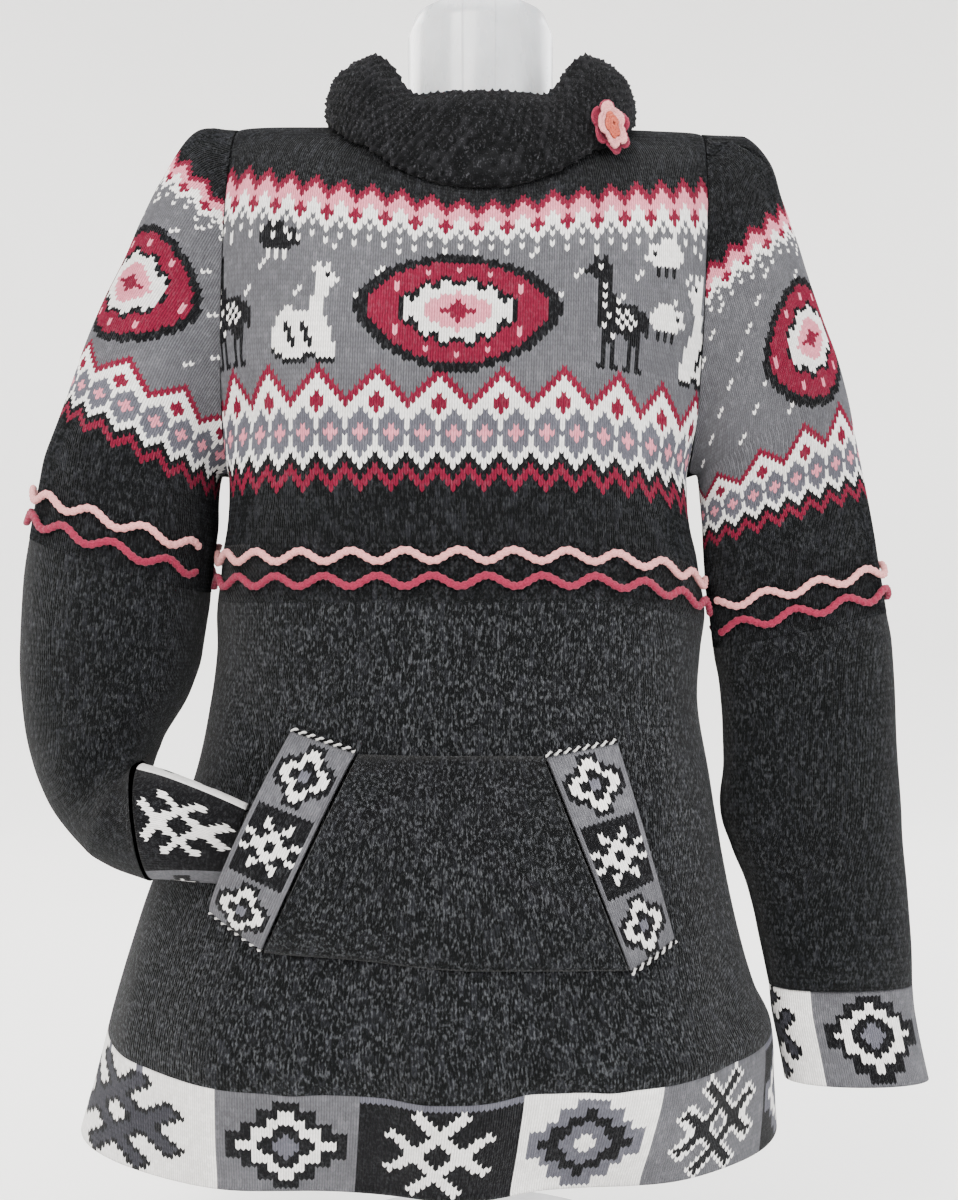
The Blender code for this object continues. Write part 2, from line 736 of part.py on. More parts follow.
def fold_z(turn):
    sideways = abs(math.sin(turn))
    if math.cos(turn) > 0:
        return FOLD_FRONT_Z + (FOLD_PEAK_Z - FOLD_FRONT_Z) * ease(FOLD_RISE_FROM, FOLD_RISE_TO, sideways)
    return FOLD_BACK_Z + (FOLD_PEAK_Z - FOLD_BACK_Z) * ease(0.0, 1.0, sideways)


def collar_section(turn, rib):
    """The folded collar's closed section: outer layer, fold, inner layer, and back inside the fold."""
    foot_plan = plan_point(
        turn, SKIRT_HALF_WIDTH, SKIRT_FRONT_Y, SKIRT_BACK_Y, roundness=SKIRT_FRONT_ROUNDNESS
    )
    foot_z = cloth_top_z(*foot_plan) + COLLAR_LIFT
    neck_plan = plan_point(turn, NECK_HALF_WIDTH - 1, NECK_FRONT_Y - 1, NECK_BACK_Y, centre=0.0)
    neck_z = cloth_top_z(*neck_plan) + COLLAR_NECK_LIFT
    top_z = fold_z(turn)

    def at(plan_low, plan_high, share, z, grow):
        plan = plan_low * (1 - share) + plan_high * share
        away = plan - np.array([COLLAR_CENTRE_X, 0.0])
        away = away / np.linalg.norm(away)
        return np.array([*(plan + away * grow), z])

    fold_plan = plan_point(turn, FOLD_HALF_WIDTH, FOLD_FRONT_Y, FOLD_BACK_Y)
    layer, belly = COLLAR_LAYER, COLLAR_BELLY
    belly_z = foot_z + (top_z - foot_z) * BELLY_LOW
    inside_z = top_z - FOLD_INSIDE_DROP
    return [
        at(foot_plan, fold_plan, 0.0, foot_z, rib),
        at(foot_plan, fold_plan, 0.35, belly_z, rib + belly),
        at(foot_plan, fold_plan, 0.75, foot_z + (top_z - foot_z) * BELLY_HIGH, rib + belly),
        at(foot_plan, fold_plan, 1.0, top_z - FOLD_OUTER_DROP, rib * 0.5),
        at(foot_plan, fold_plan, 1.0, top_z, -FOLD_CREST_IN),
        at(foot_plan, fold_plan, 1.0, top_z - FOLD_INNER_DROP, -FOLD_INNER_IN),
        at(neck_plan, fold_plan, 0.0, neck_z, -layer),
        at(neck_plan, fold_plan, 0.0, neck_z, 0.0),
        at(neck_plan, fold_plan, 0.85, inside_z, -layer),
        at(foot_plan, fold_plan, 0.85, inside_z, -layer - FOLD_LAYER_EXTRA),
        at(foot_plan, fold_plan, 0.35, belly_z, belly - layer),
        at(foot_plan, fold_plan, 0.0, foot_z, -layer),
    ]


def build_collar(collection, finishes):
    steps = COLLAR_RIBS * 2
    rings = [
        collar_section(2 * math.pi * k / steps, RIB_HEIGHT if k % 2 else 0.0) for k in range(steps)
    ]
    sweep("collar", rings, finishes["grey"], collection)


def on_front(x, z, out, forward=0.0):
    """A point a distance out from the skirt's front surface."""
    step = 1.0
    slope_x = (front_y(x + step, z) - front_y(x - step, z)) / (2 * step)
    slope_z = (front_y(x, z + step) - front_y(x, z - step)) / (2 * step)
    normal = np.array([slope_x, -1.0, slope_z])
    normal = normal / np.linalg.norm(normal)
    return np.array([x, front_y(x, z) - forward, z]) + normal * out


def build_pouch(collection, finishes):
    across, up = POUCH_STEPS
    top_left, top_right = np.array(POUCH_TOP[:2]), np.array(POUCH_TOP[2:])
    foot_left, foot_right = np.array(POUCH_BOTTOM[:2]), np.array(POUCH_BOTTOM[2:])
    grid = []
    for t in spread(up):
        row = []
        for s in spread(across):
            low = foot_left * (1 - s) + foot_right * s
            high = top_left * (1 - s) + top_right * s
            x, z = low * (1 - t) + high * t
            seam = math.sin(math.pi * t) ** BULGE_POWER
            bulge = POUCH_BULGE + (CUFF_BULGE - POUCH_BULGE) * (1 - ease(0.0, CUFF_BULGE_REACH, s))
            row.append(on_front(x, z, WALL + LIE_GAP, bulge * seam))
        grid.append(row)
    cloth("pouch", grid, finishes["heather"], collection)
    wide, tall = BAND_STEPS
    for word, corners, bulge in (
        ("left", BAND_LEFT, BAND_BULGE_LEFT),
        ("right", BAND_RIGHT, BAND_BULGE_RIGHT),
    ):
        top_a, top_b, foot_b, foot_a = (np.array(c) for c in corners)
        grid = []
        for t in spread(tall):
            row = []
            for s in spread(wide):
                low = foot_a * (1 - s) + foot_b * s
                high = top_a * (1 - s) + top_b * s
                x, z = low * (1 - t) + high * t
                swell = math.sin(math.pi * (1 - t) ** BAND_BULGE_LEAN) ** BULGE_POWER
                near = (1 - s) if word == "left" else s
                lift = bulge * (BAND_FAR_SHARE + (1 - BAND_FAR_SHARE) * near)
                row.append(on_front(x, z, WALL + LIE_GAP, lift * swell))
            grid.append(row)
        cloth(f"pocket_band_{word}", grid, finishes["grey"], collection)


def build_flower(collection, finishes):
    """Three flat domes, one on the other, facing out from the collar."""
    turn = math.radians(FLOWER_TURN)
    seat = collar_section(turn, RIB_HEIGHT)
    place = seat[0] + (seat[1] - seat[0]) * (FLOWER_Z - seat[0][2]) / (seat[1][2] - seat[0][2])
    across = collar_section(turn + FLOWER_TURN_STEP, 0)[1] - collar_section(turn - FLOWER_TURN_STEP, 0)[1]
    facing = Vector(np.cross(across, seat[1] - seat[0])).normalized()
    turned = facing.to_track_quat("Z", "Y").to_matrix().to_4x4()
    out = FLOWER_LIFT
    for word, shade, (half_wide, half_tall, half_deep) in (
        ("outer", "crimson", FLOWER_OUTER),
        ("inner", "pink", FLOWER_INNER),
        ("centre", "coral", FLOWER_CENTRE),
    ):
        mesh = bpy.data.meshes.new(f"flower_{word}")
        work = bmesh.new()
        around, over = FLOWER_SEGMENTS
        bmesh.ops.create_uvsphere(work, u_segments=around, v_segments=over, radius=1.0)
        for vertex in work.verts:
            x, y, z = vertex.co
            vertex.co = Vector((x * half_wide, y * half_tall, z * half_deep)) * MM
        work.to_mesh(mesh)
        work.free()
        mesh.shade_smooth()
        thing = add_object(f"flower_{word}", mesh, finishes[shade], collection)
        out += half_deep
        thing.matrix_world = turned
        thing.location = (Vector(place) + facing * out) * MM
        out += half_deep + TOUCH


# The dress form, its hook and its stand


def form_ring(row, steps):
    """One level of the form. At the chest it is the sweater's own ring less the wall and a small gap."""
    at_chest = ease(CHEST_FROM_Z, CHEST_FULL_Z, row.z) * (1 - ease(CHEST_TO_Z, CHEST_END_Z, row.z))
    inset = WALL + FORM_REST_GAP
    ring = []
    for k in range(steps):
        turn = 2 * math.pi * k / steps
        sideways, forward = math.sin(turn), math.cos(turn)
        depth = row.front if forward > 0 else row.back
        x = row.centre + row.half_width * signed_power(sideways, 2 / row.roundness)
        y = -depth * signed_power(forward, 2 / row.roundness)
        plain = np.array([x, y, row.z])
        if at_chest > 0:
            face = FRONT if forward > 0 else BACK
            left, right = read(BODY, "left", row.z), read(BODY, "right", row.z)
            centre, reach = (right - left) / 2, (right + left) / 2 - inset - CHEST_SIDE_GAP
            share = signed_power(sideways, 2 / ROUNDNESS)
            deep = read(BODY, "front" if face == FRONT else "back", row.z) - inset
            x = centre + reach * share
            out = deep * abs(forward) ** (2 / ROUNDNESS) + swelling(face, x, row.z, share)
            close = np.array([x, face * out, row.z])
            plain = plain * (1 - at_chest) + close * at_chest
        ring.append(plain)
    return ring


def form_rows():
    """The table's rows, with more of them read from its curves at the chest."""
    rows = list(FORM)
    for z in CHEST_ROWS_Z:
        rows.append(FormRow(z, *(read(FORM, name, z) for name in FormRow._fields[1:])))
    return sorted(rows)


def build_form(collection, finishes):
    rings = [form_ring(row, FORM_STEPS) for row in form_rows()]
    points = [p for ring in rings for p in ring]
    faces = grid_faces(len(rings), FORM_STEPS, True)
    faces.append(tuple(range(FORM_STEPS))[::-1])
    last = (len(rings) - 1) * FORM_STEPS
    faces.append(tuple(last + k for k in range(FORM_STEPS)))
    add_object("form_torso", mesh_from("form_torso", points, faces), finishes["plastic"], collection)


def build_hook(collection, finishes):
    top = FORM[-1].z
    route = [(0, 0, top + TOUCH), (0, 0, top + HOOK_SHANK / 2), (0, 0, top + HOOK_SHANK)]
    centre = np.array([HOOK_RADIUS, 0, top + HOOK_SHANK + HOOK_CENTRE_ABOVE_SHANK])
    for angle in HOOK_TURNS:
        turn = math.radians(angle)
        route.append(centre + HOOK_RADIUS * np.array([math.cos(turn), 0, math.sin(turn)]))
    tube("form_hook", route, HOOK_WIRE, finishes["steel"], collection, HOOK_SIDES)


def cylinder(name, radius, low, high, finish, collection, edge=0.0):
    mesh = bpy.data.meshes.new(name)
    work = bmesh.new()
    wide, tall = radius * MM, (high - low) * MM
    bmesh.ops.create_cone(work, cap_ends=True, segments=STAND_SEGMENTS, radius1=wide, radius2=wide, depth=tall)
    work.to_mesh(mesh)
    work.free()
    mesh.shade_smooth()
    mesh.set_sharp_from_angle(angle=SHARP_ANGLE)
    thing = add_object(name, mesh, finish, collection)
    thing.location = (0, 0, (low + high) / 2 * MM)
    if edge:
        rounded = thing.modifiers.new("edge", "BEVEL")
        rounded.width = edge * MM
        rounded.segments = BASE_EDGE_SEGMENTS
        rounded.limit_method = "ANGLE"
    return thing


def build_stand(collection, finishes):
    cylinder("stand_base", BASE_RADIUS, 0, BASE_HEIGHT, finishes["steel"], collection, BASE_EDGE)
    foot, head = BASE_HEIGHT + TOUCH, FORM[0].z - TOUCH
    cylinder("stand_pole", POLE_RADIUS, foot, head, finishes["steel"], collection)


def main():
    for thing in list(bpy.data.objects):
        bpy.data.objects.remove(thing)
    collection = bpy.data.collections.new("alpaca_sweater_on_form")
    bpy.context.scene.collection.children.link(collection)
    finishes = {slot: material(*finish) for slot, finish in FINISHES.items()}
    build_yokes(collection, finishes)
    build_skirts(collection, finishes)
    build_sleeves(collection, finishes)
    build_collar(collection, finishes)
    build_pouch(collection, finishes)
    build_body_cords(collection, finishes)
    build_sleeve_cords(collection, finishes)
    build_flower(collection, finishes)
    build_form(collection, finishes)
    build_hook(collection, finishes)
    build_stand(collection, finishes)


main()
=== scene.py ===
"""The looks of the knitted alpaca sweater on its limbless form.

The panels are knitted stitch by stitch over the same shape functions as the source. Tables and
shape functions work in millimetres, and meshes are written in metres. The front is towards -Y.
"""

import math
from collections import namedtuple

import bmesh
import bpy
import numpy as np
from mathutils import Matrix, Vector

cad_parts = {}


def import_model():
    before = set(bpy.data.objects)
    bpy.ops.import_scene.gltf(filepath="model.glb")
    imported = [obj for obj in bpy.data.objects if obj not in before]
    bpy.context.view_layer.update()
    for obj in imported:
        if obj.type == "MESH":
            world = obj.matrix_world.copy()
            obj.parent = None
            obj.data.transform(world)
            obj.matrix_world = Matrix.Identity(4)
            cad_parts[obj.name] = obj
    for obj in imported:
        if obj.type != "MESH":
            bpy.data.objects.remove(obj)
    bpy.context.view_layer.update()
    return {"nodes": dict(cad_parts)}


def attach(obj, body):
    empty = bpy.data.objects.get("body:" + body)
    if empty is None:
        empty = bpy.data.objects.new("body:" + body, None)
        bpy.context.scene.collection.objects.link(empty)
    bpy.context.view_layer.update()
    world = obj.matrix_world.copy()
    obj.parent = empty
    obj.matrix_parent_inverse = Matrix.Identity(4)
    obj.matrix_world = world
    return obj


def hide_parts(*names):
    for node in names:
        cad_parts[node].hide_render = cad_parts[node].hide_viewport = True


MM = 0.001
SEED = 11

# Camera, at the photograph's angle
CAMERA_PLACE = (0.0, -0.935, 0.47)
CAMERA_LENS = 41.13
CAMERA_SENSOR = 36.0

# Cloth
WALL = 2.0
CUFF_WALL = 2.6
SEAM_GAP = 0.8
CREASE_GAP = 1.8
LIE_GAP = 0.5
ROUNDNESS = 2.35
ARMHOLE_ROUNDNESS = 2.2

# Levels on the body
ARMHOLE_FOOT_Z = 552.0
SHOULDER_LEFT_Z = 787.0
SHOULDER_RIGHT_Z = 784.0
SHOULDER_FROM_X = -161.0
SHOULDER_SPAN = 310.0
YOKE_SEAM_Z = 468.0
YOKE_SEAM_DROP_RIGHT = 18.0
YOKE_SEAM_DROPS_FROM = 0.25
BAND_TOP_SIDE_Z = 192.0
BAND_TOP_FRONT_Z = 183.0
HEM_SIDE_Z = 121.0
HEM_FRONT_Z = 115.0
BACK_EDGE_DROP = 3.0
ARMHOLE_HALF_DEPTH = 57.0
ARMHOLE_CENTRE_Y = -2.0

# Neckline
NECK_HALF_WIDTH = 75.0
NECK_FRONT_Y = 62.0
NECK_BACK_Y = 54.0
NECK_DROP_FRONT = 47.0
NECK_DROP_BACK = 20.0
ROUND_OVER_SHOULDER = 85.0
ROUND_OVER_NECK = 50.0
ROW_DIP_POWER = 2.5

BodyRow = namedtuple("BodyRow", "z left right front back")
BODY = [
    BodyRow(110, 268, 201, 115, 123),
    BodyRow(121, 266, 200, 118, 125),
    BodyRow(150, 257, 198, 133, 125),
    BodyRow(192, 246, 195, 149, 122),
    BodyRow(211, 241, 186, 148, 118),
    BodyRow(239, 233, 177, 141, 112),
    BodyRow(277, 220, 168, 132, 106),
    BodyRow(321, 203, 160, 124, 98),
    BodyRow(355, 190, 155, 118, 90),
    BodyRow(402, 180, 147, 111, 80),
    BodyRow(436, 176, 149, 108, 76),
    BodyRow(462, 176, 152, 109, 76),
    BodyRow(487, 173, 148, 108, 78),
    BodyRow(524, 168.5, 141, 110, 83),
    BodyRow(552, 167.2, 138.7, 112, 88),
    BodyRow(600, 166, 140.9, 113, 94),
    BodyRow(650, 164.7, 143.1, 112, 96),
    BodyRow(700, 163.4, 145.4, 106, 94),
    BodyRow(788, 161.2, 149.2, 98, 88),
]

Swelling = namedtuple("Swelling", "x z half_width half_height height")
FRONT_SWELLINGS = [
    Swelling(-95, 600, 38, 40, 11),
    Swelling(51, 600, 38, 40, 11),
    Swelling(-8, 150, 24, 80, 9),
    Swelling(-150, 160, 26, 70, 6),
    Swelling(110, 165, 24, 70, 6),
]
FLUTES = 9
FLUTE_HEIGHT = 3.0
FLUTE_TOP_Z = 360.0
FLUTE_PHASE = 0.6

Section = namedtuple("Section", "outer_x outer_z inner_x inner_z centre_y half_depth")
LEFT_SLEEVE = [
    Section(-162.0, 787, -168.0, 553, -2, 57),
    Section(-189.0, 786, -169.5, 553.5, -3, 60),
    Section(-209.0, 757, -170.8, 554, -4, 62),
    Section(-223.5, 728, -172.0, 554.5, -6, 64),
    Section(-234.0, 700, -173.0, 555, -8, 66),
    Section(-247.0, 672, -174.0, 555, -10, 67),
    Section(-257.5, 645, -175.0, 553, -12, 67),
    Section(-266.5, 618, -176.0, 547, -14, 68),
    Section(-276.0, 591, -176.5, 537, -16, 68),
    Section(-284.5, 564, -177.0, 521, -18, 68),
    Section(-290.0, 538, -178.5, 499, -20, 67),
    Section(-294.0, 511, -181.0, 475, -22, 66),
    Section(-297.5, 483, -182.5, 455, -24, 65),
    Section(-299.0, 443, -185.0, 432, -28, 64),
    Section(-297.0, 413, -189.5, 416, -33, 61),
    Section(-290.0, 376, -195.5, 400, -40, 57),
    Section(-274.0, 341, -203.5, 384, -50, 51),
    Section(-252.0, 318, -208.5, 374, -62, 45),
    Section(-229.0, 305, -211.0, 371, -76, 40),
    Section(-200.5, 298, -210.8, 370.5, -90, 36),
]
LEFT_SEAM = 11
LEFT_CUFF = [
    Section(-198.8, 299.3, -208.2, 369.2, -91.6, 33.2),
    Section(-185.0, 300, -190.0, 366, -100, 26),
    Section(-171.0, 300, -165.0, 358, -108, 17),
    Section(-150.0, 300, -138.0, 348, -116, 10),
]
RIGHT_SLEEVE = [
    Section(150.0, 784, 140.0, 553, -2, 57),
    Section(176.0, 783, 141.8, 553.5, -3, 57.5),
    Section(194.0, 765, 143.2, 554, -5, 57.5),
    Section(202.0, 740, 144.4, 554.5, -7, 57),
    Section(211.0, 713, 145.6, 555, -9, 56),
    Section(219.0, 686, 146.6, 555, -10, 54),
    Section(228.5, 659, 147.4, 554.5, -11, 51),
    Section(239.0, 632, 148.0, 553, -12, 47),
    Section(246.5, 605, 148.5, 548, -12, 43),
    Section(252.0, 578, 149.5, 534, -12, 38),
    Section(258.0, 551, 150.5, 515, -12, 34),
    Section(263.5, 524, 152.0, 492, -12, 32),
    Section(268.0, 495, 154.5, 467, -12, 30),
    Section(273.0, 462, 158.0, 438, -12, 29),
    Section(277.0, 440, 161.5, 419, -12, 28),
    Section(279.5, 412, 163.5, 394, -12, 27),
    Section(281.0, 375, 164.5, 360, -12, 26),
    Section(283.5, 335, 163.0, 327, -12, 26),
    Section(284.0, 308, 170.5, 304, -12, 25),
    Section(286.5, 281, 180.5, 279, -12, 25),
    Section(290.0, 241, 189.0, 240, -12, 24),
    Section(291.0, 213, 195.0, 212, -12, 22),
]
RIGHT_SEAM = 13
RIGHT_CUFF = [
    Section(291.2, 212.2, 195.2, 211.2, -12, 20),
    Section(293.0, 195, 197.0, 194, -12, 20),
    Section(297.5, 172, 201.5, 172, -12, 20),
    Section(302.5, 149, 206.0, 149, -12, 21),
]

Sleeve = namedtuple("Sleeve", "word side sections seam cuff armhole_x first_wale")
SLEEVES = [
    Sleeve("left", 1, LEFT_SLEEVE, LEFT_SEAM, LEFT_CUFF, -165.0, 22),
    Sleeve("right", -1, RIGHT_SLEEVE, RIGHT_SEAM, RIGHT_CUFF, 146.0, 11),
]
# Heights where the cap's courses meet the armhole, from the shoulder down
CAP_MEETS_Z = (787, 752, 717, 690, 662, 632, 600, 568)

# Sewn cords
CORD_HALF_WIDTH = 2.4
CORD_WAVE = 33.0
CORD_SWING = 3.3
CRIMSON_ABOVE_SEAM = 13.0
PINK_ABOVE_SEAM = 28.5
CORD_SIDE_STOP = 0.9
CORD_LIFT = 1.0
SLEEVE_CORD_LIFT = 0.8
SLEEVE_CORD_STOP = math.radians(155)
CORD_LINK = 4.6
CORD_LINE_V = 0.05
CORD_RISE_V = 0.2

# Folded collar
COLLAR_CENTRE_X = 1.0
COLLAR_LAYER = 3.0
COLLAR_LIFT = 5.0
FOLD_HALF_WIDTH = 93.0
FOLD_FRONT_Y = 71.0
FOLD_BACK_Y = 62.0
FOLD_FRONT_Z = 792.0
FOLD_PEAK_Z = 824.0
FOLD_BACK_Z = 818.0
SKIRT_HALF_WIDTH = 102.0
SKIRT_FRONT_Y = 96.0
SKIRT_BACK_Y = 78.0
SKIRT_FRONT_ROUNDNESS = 3.0
COLLAR_BELLY = 3.0
COLLAR_NECK_LIFT = 3.0
FOLD_INSIDE_DROP = 9.0
FOLD_OUTER_DROP = 1.5
FOLD_INNER_DROP = 4.0
FOLD_CREST_IN = 3.5
FOLD_INNER_IN = 8.0
FOLD_LAYER_EXTRA = 0.6
FOLD_RISE_FROM = 0.44
FOLD_RISE_TO = 0.78
COLLAR_STITCHES = 112
COLLAR_SUB = 4
COLLAR_ROW_SUB = 2
COLLAR_PITCH = 5.2

# Pouch and bands
POUCH_TOP = (-72.0, 377.0, 38.0, 376.0)
POUCH_BOTTOM = (-126.0, 262.0, 88.0, 250.0)
POUCH_BULGE = 13.0
CUFF_BULGE = 33.0
BAND_LEFT = ((-113.0, 391.0), (-73.5, 379.0), (-127.5, 263.0), (-161.0, 281.0))
BAND_RIGHT = ((39.5, 377.0), (83.0, 384.0), (117.0, 264.0), (89.5, 249.0))
BAND_BULGE_LEFT = 46.0
BAND_BULGE_RIGHT = 12.0
BULGE_POWER = 0.6
BAND_BULGE_LEAN = 1.3
BAND_FAR_SHARE = 0.72
BAND_NEAR_EXTRA = 0.28
CUFF_BULGE_REACH = 0.55

# Flower
FLOWER_TURN = math.radians(43.0)
FLOWER_Z = 763.0
FLOWER_LIFT = 0.6

# Dress form
FORM_REST_GAP = 0.7
FormRow = namedtuple("FormRow", "z centre half_width front back roundness")
FORM = [
    FormRow(245, -18, 136, 84, 80, 2.3),
    FormRow(252, -18, 143, 89, 85, 2.3),
    FormRow(290, -18, 148, 93, 88, 2.3),
    FormRow(330, -18, 145, 92, 82, 2.3),
    FormRow(395, -17, 130, 86, 70, 2.3),
    FormRow(455, -15, 118, 82, 62, 2.3),
    FormRow(515, -14, 126, 90, 68, 2.3),
    FormRow(560, -14, 140, 99, 78, 2.35),
    FormRow(660, -11, 140, 98, 84, 2.35),
    FormRow(700, -8, 146, 80, 76, 2.2),
    FormRow(722, -7, 145, 65, 66, 2.0),
    FormRow(742, -6, 141, 53, 54, 1.65),
    FormRow(760, -5, 130, 50.5, 50.5, 1.35),
    FormRow(772, -3, 108, 50, 50, 1.22),
    FormRow(779, 0, 86, 50, 50, 1.35),
    FormRow(784, 1, 56, 49.5, 49.5, 1.9),
    FormRow(795, 1, 49.5, 49.5, 49.5, 2.0),
    FormRow(850, 1, 49.5, 49.5, 49.5, 2.0),
    FormRow(863, 1, 45, 45, 45, 2.0),
    FormRow(870, 1, 34, 34, 34, 2.0),
    FormRow(872, 1, 18, 18, 18, 2.0),
]
CHEST_FROM_Z = 530.0
CHEST_FULL_Z = 570.0
CHEST_TO_Z = 640.0
CHEST_END_Z = 690.0
CHEST_SIDE_GAP = 1.0
CHEST_ROWS_Z = (580, 600, 620, 640, 680)
FORM_AROUND = 120

FRONT = -1
BACK = 1

# Knitting: how a course dips across a stitch, and how its two legs stand out
DIPS = {4: np.array([0.0, -0.28, -0.55, -0.28]), 2: np.array([0.0, -0.55])}
LEGS = {4: np.array([-0.2, 0.24, -0.2, 0.24]), 2: np.array([0.0, 0.0])}
STITCH = 3.11
COURSE = 3.2
SAMPLES = 361


def linear(red, green, blue):
    """A colour given in screen values, as light."""
    shares = (c / 255 for c in (red, green, blue))
    return tuple(((c + 0.055) / 1.055) ** 2.4 if c > 10 / 255 else c / 12.92 for c in shares)


# Yarns by number in the charts
DARK, GREY, CRIMSON, PALE, WHITE, BLACK, MID, SLATE = range(8)
YARNS = np.array([
    linear(6, 7, 8),
    linear(77, 77, 81),
    linear(98, 15, 38),
    linear(194, 116, 130),
    linear(214, 212, 210),
    linear(9, 9, 11),
    linear(78, 78, 86),
    linear(40, 40, 46),
])
FLECKS = np.array([
    linear(36, 37, 41),
    linear(97, 97, 101),
    linear(112, 24, 48),
    linear(206, 138, 150),
    linear(226, 224, 221),
    linear(20, 20, 23),
    linear(94, 94, 102),
    linear(54, 54, 60),
])
FLECK_SHARE = np.array([0.55, 0.5, 0.25, 0.4, 0.3, 0.3, 0.5, 0.4])
PINK_CORD = linear(196, 122, 122)
CRIMSON_CORD = linear(112, 20, 44)
CORAL_CORD = linear(160, 66, 50)

# Charts, one letter a stitch and the top course first
LETTERS = {"k": BLACK, "w": WHITE, "c": CRIMSON, "p": PALE, "g": MID}
STANDING = (
    "..k.k...........",
    "..kkk...........",
    ".kkwkk..........",
    "kkkkkk..........",
    "..kkkk..........",
    "...kkk..........",
    "...kwk..........",
    "...kkk..........",
    "...kwkk.........",
    "...kkkk.........",
    "...kwkkkkkkk....",
    "...kkkkwkwkkkk..",
    "...kkwkkwkwkkkk.",
    "...kkkkwkwkwkkk.",
    "...kwkkkwkwkkkk.",
    "....kkkkkkkkk.k.",
    "....kkw..kkkk...",
    "....kkk...kkk...",
    "....k.k...k.k...",
    "....k.k...k.k...",
    "....k.k...k.k...",
    "....k.k...k.k...",
    "...kk.kk.kk.kk..",
)
LYING = (
    "..........w.w...",
    "..........www...",
    "..........wwkw..",
    "..........wwwww.",
    "..........wwww..",
    "..........www...",
    "..........www...",
    ".........www....",
    ".........www....",
    "...ww....www....",
    "..wwwwwwwwww....",
    ".wwwwwwwwwwww...",
    ".wwkwwwkwwwww...",
    "wwwkkwwkkwwwww..",
    "wwwwkwwwkwwwww..",
    "wwwwkkwwkkwwww..",
    "wwwwwkwwwkwwwww.",
    "kwwwwwwwwwwwwww.",
    ".kkwwwwwkkkwwww.",
    "...kkkkkk..kkkk.",
)
SHEEP = (
    "..oooo....",
    ".oooooooo.",
    "oooooooxo.",
    "oooooooooo",
    ".ooooooo..",
    "..x.x.x...",
    "..x.x.x...",
)

Motif = namedtuple("Motif", "chart x course mirrored shades")
PLAIN_SHADES = {}
WHITE_SHEEP = {"o": WHITE, "x": BLACK}
BLACK_SHEEP = {"o": BLACK, "x": WHITE}
FRONT_MOTIFS = [
    Motif(SHEEP, -126, 63, False, BLACK_SHEEP),
    Motif(STANDING, -158, 43, False, PLAIN_SHADES),
    Motif(LYING, -106, 43, False, PLAIN_SHADES),
    Motif(STANDING, 86, 43, False, PLAIN_SHADES),
    Motif(SHEEP, 113, 62, True, WHITE_SHEEP),
    Motif(SHEEP, 118, 50, False, WHITE_SHEEP),
    Motif(LYING, 146, 43, True, PLAIN_SHADES),
]
BACK_MOTIFS = [
    Motif(STANDING, -140, 44, True, PLAIN_SHADES),
    Motif(LYING, -90, 45, False, PLAIN_SHADES),
    Motif(LYING, 90, 45, True, PLAIN_SHADES),
    Motif(STANDING, 140, 44, False, PLAIN_SHADES),
]

# Courses of the patterned yoke, counted from its seam
PURL_COURSES = 11
BORDER_FROM = 19
FRIEZE_FROM = 43
SCALLOP_TOP = 79
YOKE_COURSES = 100
PEAK_X = 14.4
MEDALLION_X = -14.0
MEDALLION_COURSE = 54
MEDALLION_HALF = (20, 12)
EDGE_REACH = 1.01
DIP_HALF_WIDTH = 152.0
DIP_POWER = 1.6
DIP_FADES_FROM = 0.88
EVEN_COURSES = 67
EVEN_SHARE = 0.73
EVEN_DIVISOR = 92
SLEEVE_COURSE = 2.5
SLEEVE_BORDER_FROM = 28
SLEEVE_SCALLOP_TOP = 105
SLEEVE_HALF_WALES = 60

# Stitches of the plain pieces, and the walls of the doubled shells
SKIRT_WALES = 150
SKIRT_COURSES = 86
SKIRT_FOOT_OVERLAP = 1.5
POUCH_WALES = 58
POUCH_COURSES = 38
BAND_WALES = 14
BAND_COURSES = 42
BAND_END_POINTS = 40
BAND_END_FORWARD = 1.2
SQUARES_SHELL = CUFF_WALL - 0.6
POUCH_SHELL = WALL - 0.4
PETAL_WALL = 1.5

# How far a grey diamond reaches from its middle wale, from its middle course outwards
DIAMOND_HALF_WIDTHS = (3, 2, 2, 1, 0)

# Soft folds: ends seen from the front, width and height
Fold = namedtuple("Fold", "x0 z0 x1 z1 width height")
FRONT_FOLDS = [
    Fold(-160, 560, -100, 520, 12, 2.6),
    Fold(-166, 600, -126, 575, 9, -2.0),
    Fold(-158, 640, -128, 600, 8, 1.8),
    Fold(-165, 500, -118, 490, 10, 1.8),
    Fold(136, 590, 92, 548, 11, 2.4),
    Fold(138, 640, 110, 600, 8, -1.8),
    Fold(134, 545, 98, 505, 9, 2.2),
    Fold(140, 500, 80, 478, 10, 1.6),
    Fold(-20, 590, -22, 500, 20, -2.2),
    Fold(-120, 430, -60, 405, 16, 1.8),
    Fold(70, 440, 120, 410, 14, 1.8),
    Fold(-150, 420, -120, 330, 13, -2.0),
    Fold(120, 400, 104, 300, 12, 1.8),
    Fold(-40, 300, -30, 130, 15, 2.8),
    Fold(20, 270, 34, 125, 14, -2.6),
    Fold(-105, 260, -112, 130, 13, 2.4),
    Fold(-205, 300, -222, 150, 13, 2.2),
    Fold(72, 240, 82, 130, 12, 2.4),
    Fold(150, 300, 158, 150, 12, -2.2),
    Fold(-60, 700, -104, 728, 11, 1.2),
    Fold(60, 704, 98, 730, 10, 1.2),
]
